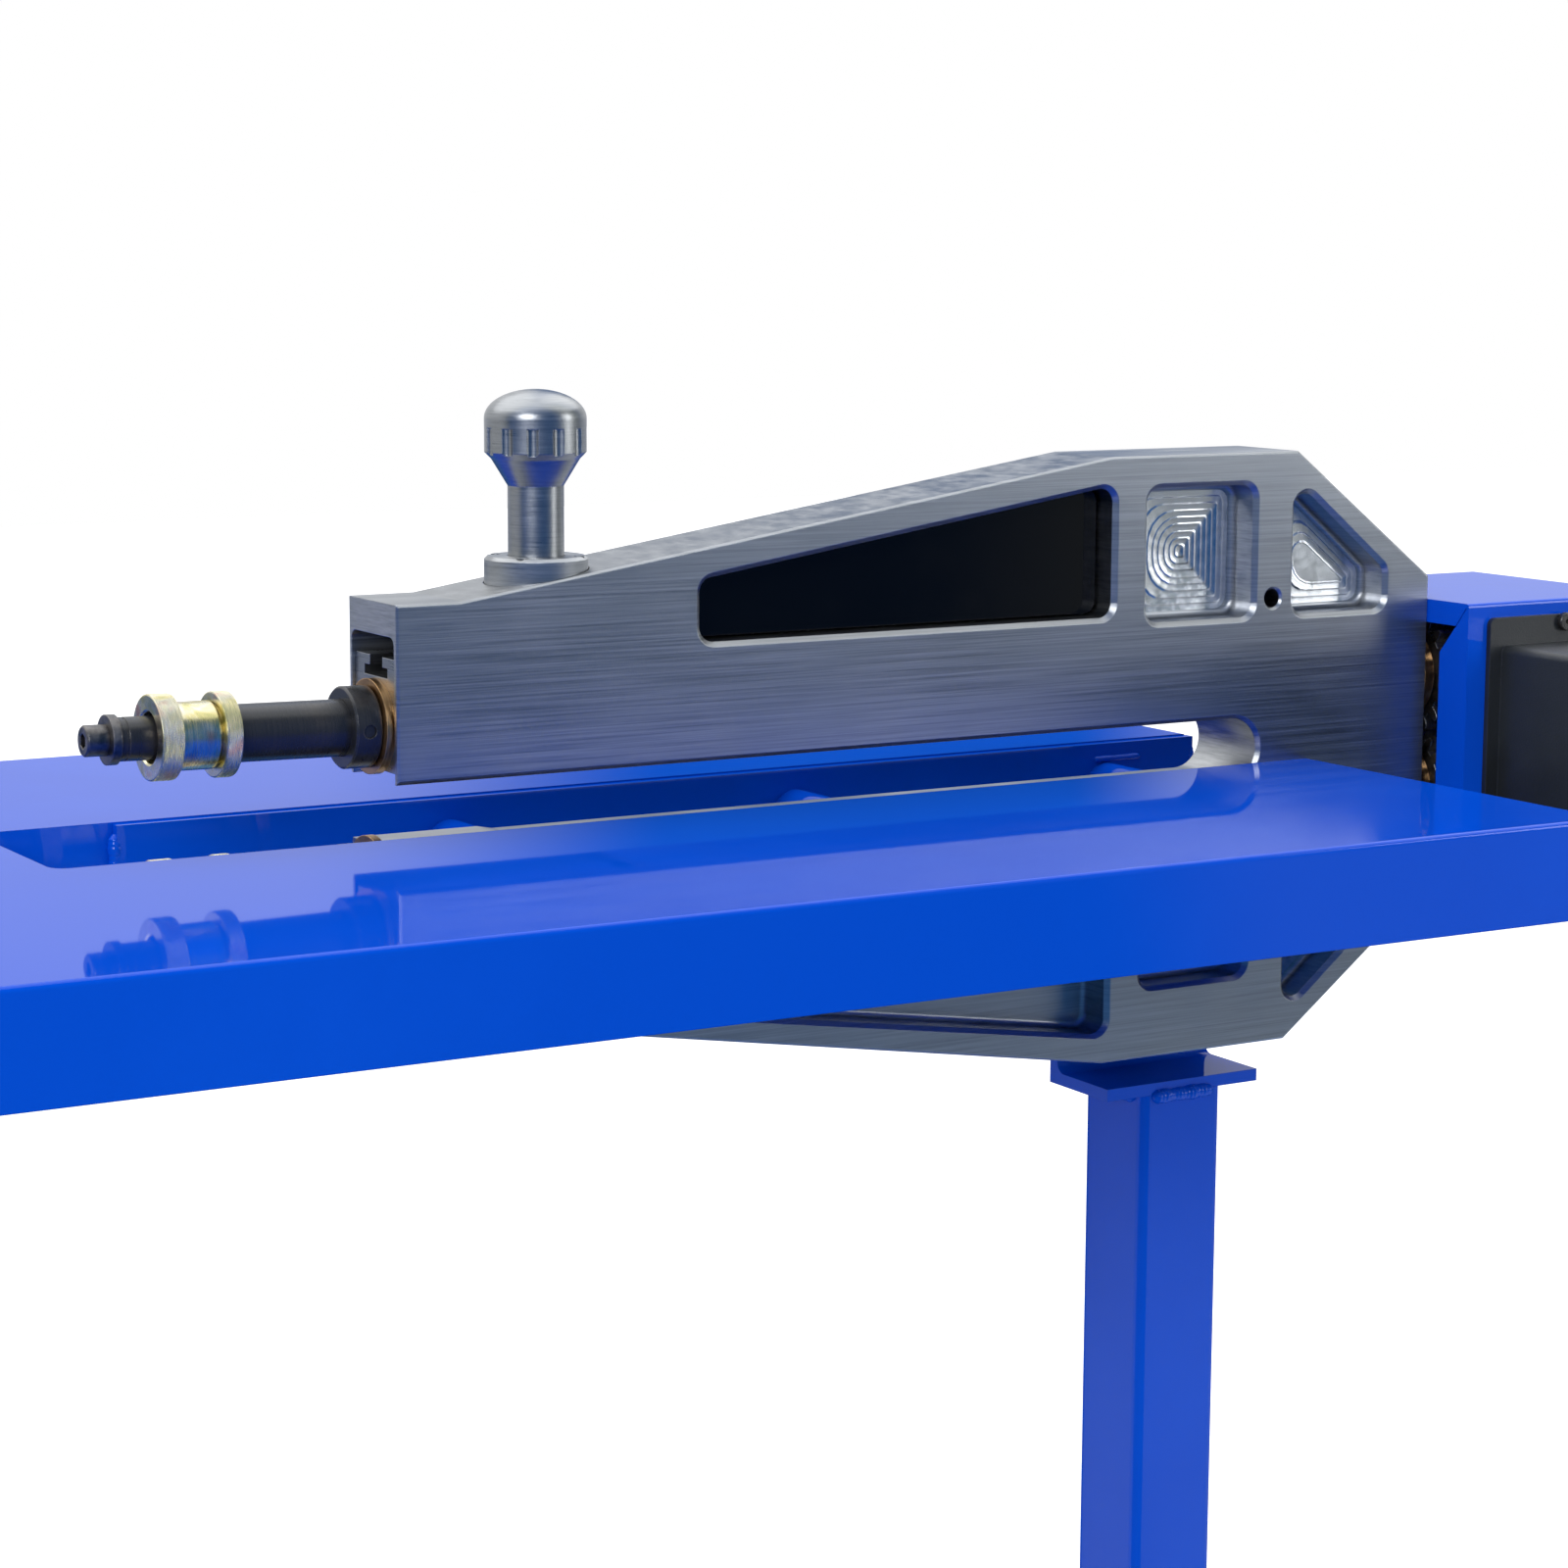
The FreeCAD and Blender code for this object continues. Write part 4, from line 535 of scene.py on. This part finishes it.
flank_metal = machined(
    "fly-cut aluminium",
    (0.30, 0.31, 0.32, 1),
    (0.46, 0.47, 0.48, 1),
    (0.30, 0.42),
    (9.0, 60.0, 900.0),
    0.22,
    anisotropy=0.75,
    grain_axis=(1.0, 0.0, 0.0),
)
for name in ("frame_body", "head_cap"):
    finish_node(name, flank_metal)

turned_aluminium = machined(
    "turned aluminium", (0.26, 0.27, 0.28, 1), (0.36, 0.37, 0.38, 1), (0.26, 0.34), (60.0, 60.0, 1500.0), 0.12
)
for name in ("adjuster_knob", "upper_bearing_block", "bracket_spacer", "worm_support"):
    finish_node(name, turned_aluminium)

# Cutter rings on the pocket floors: contour-parallel passes, each a shallow scallop that steps up towards
# the wall. They swing round in arcs at the end nearest the dies and run straight into the other corners.
POCKET_DEPTH = 0.01905
DATUM_Z = 1.046
PASS_WIDTH = 0.0033
SCALLOP = 0.00020
cutter_metal = machined(
    "milled pocket floor",
    (0.55, 0.57, 0.60, 1),
    (0.70, 0.72, 0.75, 1),
    (0.14, 0.22),
    (260.0, 260.0, 260.0),
    0.05,
)


def inset_polygon(corners, distance):
    """A convex polygon (anticlockwise, x and z) moved in by distance, or None when it is gone."""
    count = len(corners)
    lines_in = []
    for i in range(count):
        a, b = Vector(corners[i]), Vector(corners[(i + 1) % count])
        along = (b - a).normalized()
        inward = Vector((-along.y, along.x))
        lines_in.append((a + inward * distance, along))
    moved = []
    for i in range(count):
        (p, u), (q, v) = lines_in[i - 1], lines_in[i]
        cross = u.x * v.y - u.y * v.x
        t = ((q - p).x * v.y - (q - p).y * v.x) / cross
        moved.append(p + u * t)
    for i in range(count):
        edge = moved[(i + 1) % count] - moved[i]
        if edge.dot(lines_in[i][1]) <= 0.0004:
            return None
    return moved


def rounded_outline(corners, radii, steps):
    """A convex polygon with its corners rounded by radii; any size gives the same count of points."""
    count = len(corners)
    points = []
    for i in range(count):
        corner = corners[i]
        back_way = (corners[i - 1] - corner).normalized()
        on_way = (corners[(i + 1) % count] - corner).normalized()
        half = math.acos(max(-1.0, min(1.0, back_way.dot(on_way)))) / 2
        shortest = min((corners[i - 1] - corner).length, (corners[(i + 1) % count] - corner).length)
        r = min(radii[i], 0.45 * shortest * math.tan(half))
        reach = r / math.tan(half)
        centre = corner + (back_way + on_way).normalized() * (r / math.sin(half))
        start = corner + back_way * reach - centre
        sweep = math.pi - 2 * half
        for k in range(steps + 1):
            angle = sweep * k / steps
            turned = Vector(
                (
                    start.x * math.cos(angle) - start.y * math.sin(angle),
                    start.x * math.sin(angle) + start.y * math.cos(angle),
                )
            )
            points.append(centre + turned)
    return points


def cutter_floor(bm, corners, corner_radius, floor_y, facing):
    """Scalloped rings that fill a pocket's floor; facing is -1 on the near side and 1 on the far side."""
    samples = 6
    corner_steps = 5
    rings = []
    distance = 0.0
    while True:
        moved = inset_polygon(corners, distance)
        if moved is None:
            break
        middle = sum(corner.x for corner in moved) / len(moved)
        sharp, round_end = max(0.0015, corner_radius - distance), corner_radius + distance
        radii = [round_end if corner.x < middle else sharp for corner in moved]
        outline = rounded_outline(moved, radii, corner_steps)
        phase = (distance / PASS_WIDTH) % 1.0
        height = 0.00012 + SCALLOP * (1.0 - phase) ** 1.6
        y = floor_y + facing * height
        rings.append([bm.verts.new((p.x, y, p.y)) for p in outline])
        distance += PASS_WIDTH / samples
    for outer, inner in zip(rings, rings[1:]):
        for k in range(len(outer)):
            n = (k + 1) % len(outer)
            bm.faces.new((outer[k], outer[n], inner[n], inner[k]))
    bm.faces.new(rings[-1])


frame_low, frame_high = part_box("frame_body")
FLOOR_MARGIN = 0.0056
SQUARE_POCKET = [(-0.0495, 0.066), (0.0208, 0.066), (0.0208, 0.137), (-0.0495, 0.137)]
LOWER_SQUARE_POCKET = [(-0.0495, 0.066), (0.0208, 0.066), (0.0208, 0.117), (-0.0495, 0.117)]
CORNER_POCKET = [(0.0418, 0.066), (0.1054, 0.066), (0.1054, 0.0906), (0.0418, 0.1419)]
bm = bmesh.new()
for floor_y, facing in ((frame_low.y + POCKET_DEPTH, -1), (frame_high.y - POCKET_DEPTH, 1)):
    for outline, sign in (
        (SQUARE_POCKET, 1), (CORNER_POCKET, 1), (LOWER_SQUARE_POCKET, -1), (CORNER_POCKET, -1)
    ):
        corners = [Vector((x, DATUM_Z + sign * z)) for x, z in outline]
        if sign < 0:
            corners.reverse()
        cutter_floor(bm, inset_polygon(corners, FLOOR_MARGIN), 0.0065, floor_y, facing)
add_object("pocket_floor_rings", bm, cutter_metal, "frame", smooth=False)


# Name plate. A gloss black anodised plate, left bare, is bonded to the floor of the near long pocket.
plate_black, tree, surface, place = new_material("gloss black plate")
edge = place_group(tree, edges, {"Radius": 0.0005, "Vector": place})
film = place_group(tree, smudges, {"Vector": place, "Scale": 16.0})
gloss = shade(tree, "ShaderNodeMapRange", {"Value": film.outputs["Mask"], "To Min": 0.06, "To Max": 0.13})
rub = shade(
    tree,
    "ShaderNodeMix",
    {"Factor": edge.outputs["Mask"], "A": (0.0012, 0.0013, 0.0018, 1), "B": (0.05, 0.05, 0.055, 1)},
    data_type="RGBA",
)
link(tree, rub.outputs["Result"], surface.inputs["Base Color"])
link(tree, gloss.outputs["Result"], surface.inputs["Roughness"])
link(tree, edge.outputs["Normal"], surface.inputs["Normal"])
surface.inputs["Specular IOR Level"].default_value = 0.3
finish_node("name_plate", plate_black)


# Bronze bearings: the front bushes, the rear bush, the ball and its seat, the stud's guide and the worm
# wheel. They are turned from cast bronze and left bare.
bronze = machined(
    "turned bronze", (0.36, 0.19, 0.075, 1), (0.58, 0.36, 0.17, 1), (0.26, 0.40), (900.0, 50.0, 50.0), 0.16
)
for name in (
    "lower_front_bush",
    "upper_front_bush",
    "lower_rear_bush",
    "upper_rear_seat",
    "upper_rear_ball",
    "stud_guide_bush",
    "worm_end_bush",
    "worm_wheel",
):
    finish_node(name, bronze)


# Shafts, collars and keepers. They are ground steel with a black oxide finish, which is thin, slightly
# oily and rubbed brown where pieces slide.
black_oxide, tree, surface, place = new_material("black oxide steel")
edge = place_group(tree, edges, {"Radius": 0.0006, "Vector": place})
grain = place_group(tree, lines, {"Vector": place, "Stretch": (1100.0, 30.0, 30.0), "Fine": 0.5})
film = place_group(tree, smudges, {"Vector": place, "Scale": 38.0})
oiled = shade(
    tree,
    "ShaderNodeMix",
    {"Factor": film.outputs["Mask"], "A": (0.020, 0.021, 0.024, 1), "B": (0.034, 0.031, 0.030, 1)},
    data_type="RGBA",
)
rubbed = shade(
    tree,
    "ShaderNodeMix",
    {"Factor": edge.outputs["Mask"], "A": oiled.outputs["Result"], "B": (0.16, 0.15, 0.14, 1)},
    data_type="RGBA",
)
gloss = shade(tree, "ShaderNodeMapRange", {"Value": grain.outputs["Shade"], "To Min": 0.24, "To Max": 0.36})
relief = shade(
    tree, "ShaderNodeBump", {
        "Height": grain.outputs["Height"],
        "Distance": 0.0001,
        "Strength": 0.07,
        "Normal": edge.outputs["Normal"],
    }
)
link(tree, rubbed.outputs["Result"], surface.inputs["Base Color"])
link(tree, gloss.outputs["Result"], surface.inputs["Roughness"])
link(tree, relief.outputs["Normal"], surface.inputs["Normal"])
surface.inputs["Metallic"].default_value = 0.35
surface.inputs["Specular IOR Level"].default_value = 0.7
for name in (
    "upper_shaft",
    "lower_shaft",
    "upper_collar",
    "lower_collar",
    "upper_collar_screw",
    "lower_collar_screw",
    "head_cap_screws",
    "guard_frame_screws",
    "guard_cover_screws",
    "motor_screws",
):
    finish_node(name, black_oxide)


# Die end of each shaft: a hexagon socket screw and a washer that hold the die, in worn black steel.
worn_steel = machined(
    "worn black steel",
    (0.075, 0.072, 0.070, 1),
    (0.20, 0.19, 0.185, 1),
    (0.26, 0.44),
    (160.0, 160.0, 160.0),
    0.22,
    radius=0.0009,
)
for side in ("upper", "lower"):
    for piece in ("_die_washer", "_die_screw", "_rear_retainer"):
        finish_node(side + piece, worn_steel)


# Die adjusters. A knurled sleeve and its knurled lock ring on each shaft, in zinc plate with a yellow
# chromate that shifts to green and pink.
zinc, tree, surface, place = new_material("yellow zinc plate")
edge = place_group(tree, edges, {"Radius": 0.0004, "Vector": place})
grain = place_group(tree, lines, {"Vector": place, "Stretch": (1600.0, 40.0, 40.0), "Fine": 0.5})
hue = shade(tree, "ShaderNodeTexNoise", {"Vector": place, "Scale": 75.0, "Detail": 2.0, "Distortion": 0.6})
chromate = shade(tree, "ShaderNodeValToRGB", {"Fac": hue.outputs["Fac"]})
ramp = chromate.color_ramp
ramp.elements[0].position = 0.30
ramp.elements[0].color = (0.40, 0.40, 0.16, 1)
ramp.elements[1].position = 0.72
ramp.elements[1].color = (0.62, 0.36, 0.27, 1)
for position, colour in ((0.42, (0.66, 0.58, 0.28, 1)), (0.55, (0.70, 0.66, 0.50, 1))):
    ramp.elements.new(position).color = colour
worn = shade(
    tree,
    "ShaderNodeMix",
    {"Factor": edge.outputs["Mask"], "A": chromate.outputs["Color"], "B": (0.75, 0.70, 0.52, 1)},
    data_type="RGBA",
)
gloss = shade(tree, "ShaderNodeMapRange", {"Value": grain.outputs["Shade"], "To Min": 0.20, "To Max": 0.32})
relief = shade(
    tree, "ShaderNodeBump", {
        "Height": grain.outputs["Height"],
        "Distance": 0.0001,
        "Strength": 0.06,
        "Normal": edge.outputs["Normal"],
    }
)
link(tree, worn.outputs["Result"], surface.inputs["Base Color"])
link(tree, gloss.outputs["Result"], surface.inputs["Roughness"])
link(tree, relief.outputs["Normal"], surface.inputs["Normal"])
surface.inputs["Metallic"].default_value = 1.0

RING_R = 0.0188
BORE_R = 0.01125
SLEEVE_R = 0.0149
TAIL_R = 0.0132
KNURL_COUNT = 108
KNURL_DEPTH = 0.00034
KNURL_PITCH = 0.0014
COLUMNS = 4 * KNURL_COUNT
ROW = KNURL_PITCH / 4


def knurl_height(column, row):
    """Height of the diamond pyramids, 0 in the grooves and 1 on the points."""
    u = (column / 4 + row / 4) % 1.0
    v = (column / 4 - row / 4) % 1.0
    return min(1.0 - abs(2.0 * u - 1.0), 1.0 - abs(2.0 * v - 1.0))


def ring_profile(x_from, x_to, band):
    """Rows (x, radius, row number or None) across a knurled ring's rim, with rounded corners."""
    corner = 0.0007
    rows = [(x_from, RING_R - corner, None), (x_from + corner * 0.3, RING_R - corner * 0.3, None)]
    start, stop = band
    count = round((stop - start) / ROW)
    rows += [(start + ROW * i, RING_R, i) for i in range(count + 1)]
    rows += [(x_to - corner * 0.3, RING_R - corner * 0.3, None), (x_to, RING_R - corner, None)]
    return rows


def adjuster_mesh(rows, centre, along):
    """A closed body of revolution round along, from rows (x, radius, knurl row or None) in a closed loop."""
    bm = bmesh.new()
    side = Vector((0, 1, 0))
    up = along.cross(side).normalized()
    rings = []
    for x, radius, row in rows:
        ring = []
        for column in range(COLUMNS):
            angle = 2 * math.pi * column / COLUMNS
            r = radius
            if row is not None:
                r -= KNURL_DEPTH * (1.0 - knurl_height(column, row))
            ring.append(
                bm.verts.new(centre + along * x + (side * math.cos(angle) + up * math.sin(angle)) * r)
            )
        rings.append(ring)
    for near, far in zip(rings, rings[1:] + rings[:1]):
        for k in range(COLUMNS):
            bm.faces.new((near[k], near[(k + 1) % COLUMNS], far[(k + 1) % COLUMNS], far[k]))
    return bm


def knurled_piece(name, rows, side):
    joint = next(j for j in frame["joints"] if j["name"] == side + "_shaft_spin")
    centre = Vector(joint["pos_m"])
    along = Vector(joint["axis"]).normalized()
    shifted = [(x - centre.x, radius, row) for x, radius, row in rows]
    piece = add_object(
        name,
        adjuster_mesh(shifted, centre, along),
        zinc,
        side + ("_ring" if "lock" in name else "_sleeve"),
        smooth=False,
    )
    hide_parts(name.replace("knurled_", ""))
    return piece


lower_sleeve_low, lower_sleeve_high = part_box("lower_die_sleeve")
lower_ring_low, lower_ring_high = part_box("lower_lock_ring")
front_x = lower_sleeve_low.x
front_ring_back = front_x + 0.010
tail_x = lower_sleeve_high.x
shoulder_x = lower_ring_low.x - 0.0008
sleeve_rows = [(front_x, BORE_R + 0.0008, None)]
sleeve_rows += ring_profile(front_x, front_ring_back, (front_x + 0.0008, front_ring_back - 0.0008))
sleeve_rows += [
    (front_ring_back, SLEEVE_R, None),
    (shoulder_x - 0.0006, SLEEVE_R, None),
    (shoulder_x, SLEEVE_R - 0.0006, None),
    (shoulder_x, TAIL_R, None),
    (tail_x, TAIL_R, None),
    (tail_x, BORE_R, None),
    (front_x + 0.0008, BORE_R, None),
]
ring_inside_x = lower_ring_high.x - 0.0025
ring_rows = [(lower_ring_low.x, TAIL_R + 0.0005, None)]
ring_rows += ring_profile(
    lower_ring_low.x, lower_ring_high.x, (lower_ring_low.x + 0.0008, lower_ring_high.x - 0.0008)
)
ring_rows += [
    (lower_ring_high.x, BORE_R + 0.0003, None),
    (lower_ring_high.x - 0.0003, BORE_R, None),
    (ring_inside_x, BORE_R, None),
    (ring_inside_x, TAIL_R + 0.00005, None),
    (lower_ring_low.x + 0.0005, TAIL_R + 0.00005, None),
]
for side in ("upper", "lower"):
    knurled_piece(f"knurled_{side}_die_sleeve", sleeve_rows, side)
    knurled_piece(f"knurled_{side}_lock_ring", ring_rows, side)


# Gears, keys, bolts and the lift stud, in bright cut steel with a trace of oil.
cut_steel = machined(
    "bright cut steel",
    (0.36, 0.35, 0.34, 1),
    (0.56, 0.55, 0.54, 1),
    (0.24, 0.38),
    (420.0, 120.0, 120.0),
    0.12,
)
for name in (
    "upper_gear",
    "lower_gear",
    "upper_shaft_keys",
    "lower_shaft_keys",
    "gear_spacer",
    "drive_worm",
    "lift_stud",
    "table_bolts",
    "bracket_bolts",
):
    finish_node(name, cut_steel)


# Motor cover, in folded sheet with a fine black texture coat, and the plastic cable gland and tube caps.
def textured_black(name, tone, rough, grain_scale, depth):
    material, tree, surface, place = new_material(name)
    edge = place_group(tree, edges, {"Radius": 0.0008, "Vector": place})
    film = place_group(tree, smudges, {"Vector": place, "Scale": 9.0})
    pebbles = shade(
        tree, "ShaderNodeTexNoise", {"Vector": place, "Scale": grain_scale, "Detail": 2.0, "Roughness": 0.6}
    )
    light = tuple(min(1.0, c * 1.8) for c in tone[:3]) + (1,)
    colour = shade(
        tree, "ShaderNodeMix", {"Factor": film.outputs["Mask"], "A": tone, "B": light}, data_type="RGBA"
    )
    gloss = shade(
        tree,
        "ShaderNodeMapRange",
        {"Value": pebbles.outputs["Fac"], "To Min": rough - 0.06, "To Max": rough + 0.08},
    )
    relief = shade(
        tree, "ShaderNodeBump", {
            "Height": pebbles.outputs["Fac"],
            "Distance": 0.0004,
            "Strength": depth,
            "Normal": edge.outputs["Normal"],
        }
    )
    link(tree, colour.outputs["Result"], surface.inputs["Base Color"])
    link(tree, gloss.outputs["Result"], surface.inputs["Roughness"])
    link(tree, relief.outputs["Normal"], surface.inputs["Normal"])
    return material


cover_black = textured_black("black texture coat", (0.010, 0.012, 0.014, 1), 0.42, 1100.0, 0.22)
finish_node("motor_cover", cover_black)
plastic_black = textured_black("moulded black plastic", (0.012, 0.012, 0.012, 1), 0.50, 700.0, 0.15)
for name in ("cable_gland", "tube_end_caps"):
    finish_node(name, plastic_black)
motor_grey = textured_black("grey motor enamel", (0.16, 0.17, 0.18, 1), 0.38, 500.0, 0.12)
finish_node("drive_motor", motor_grey)
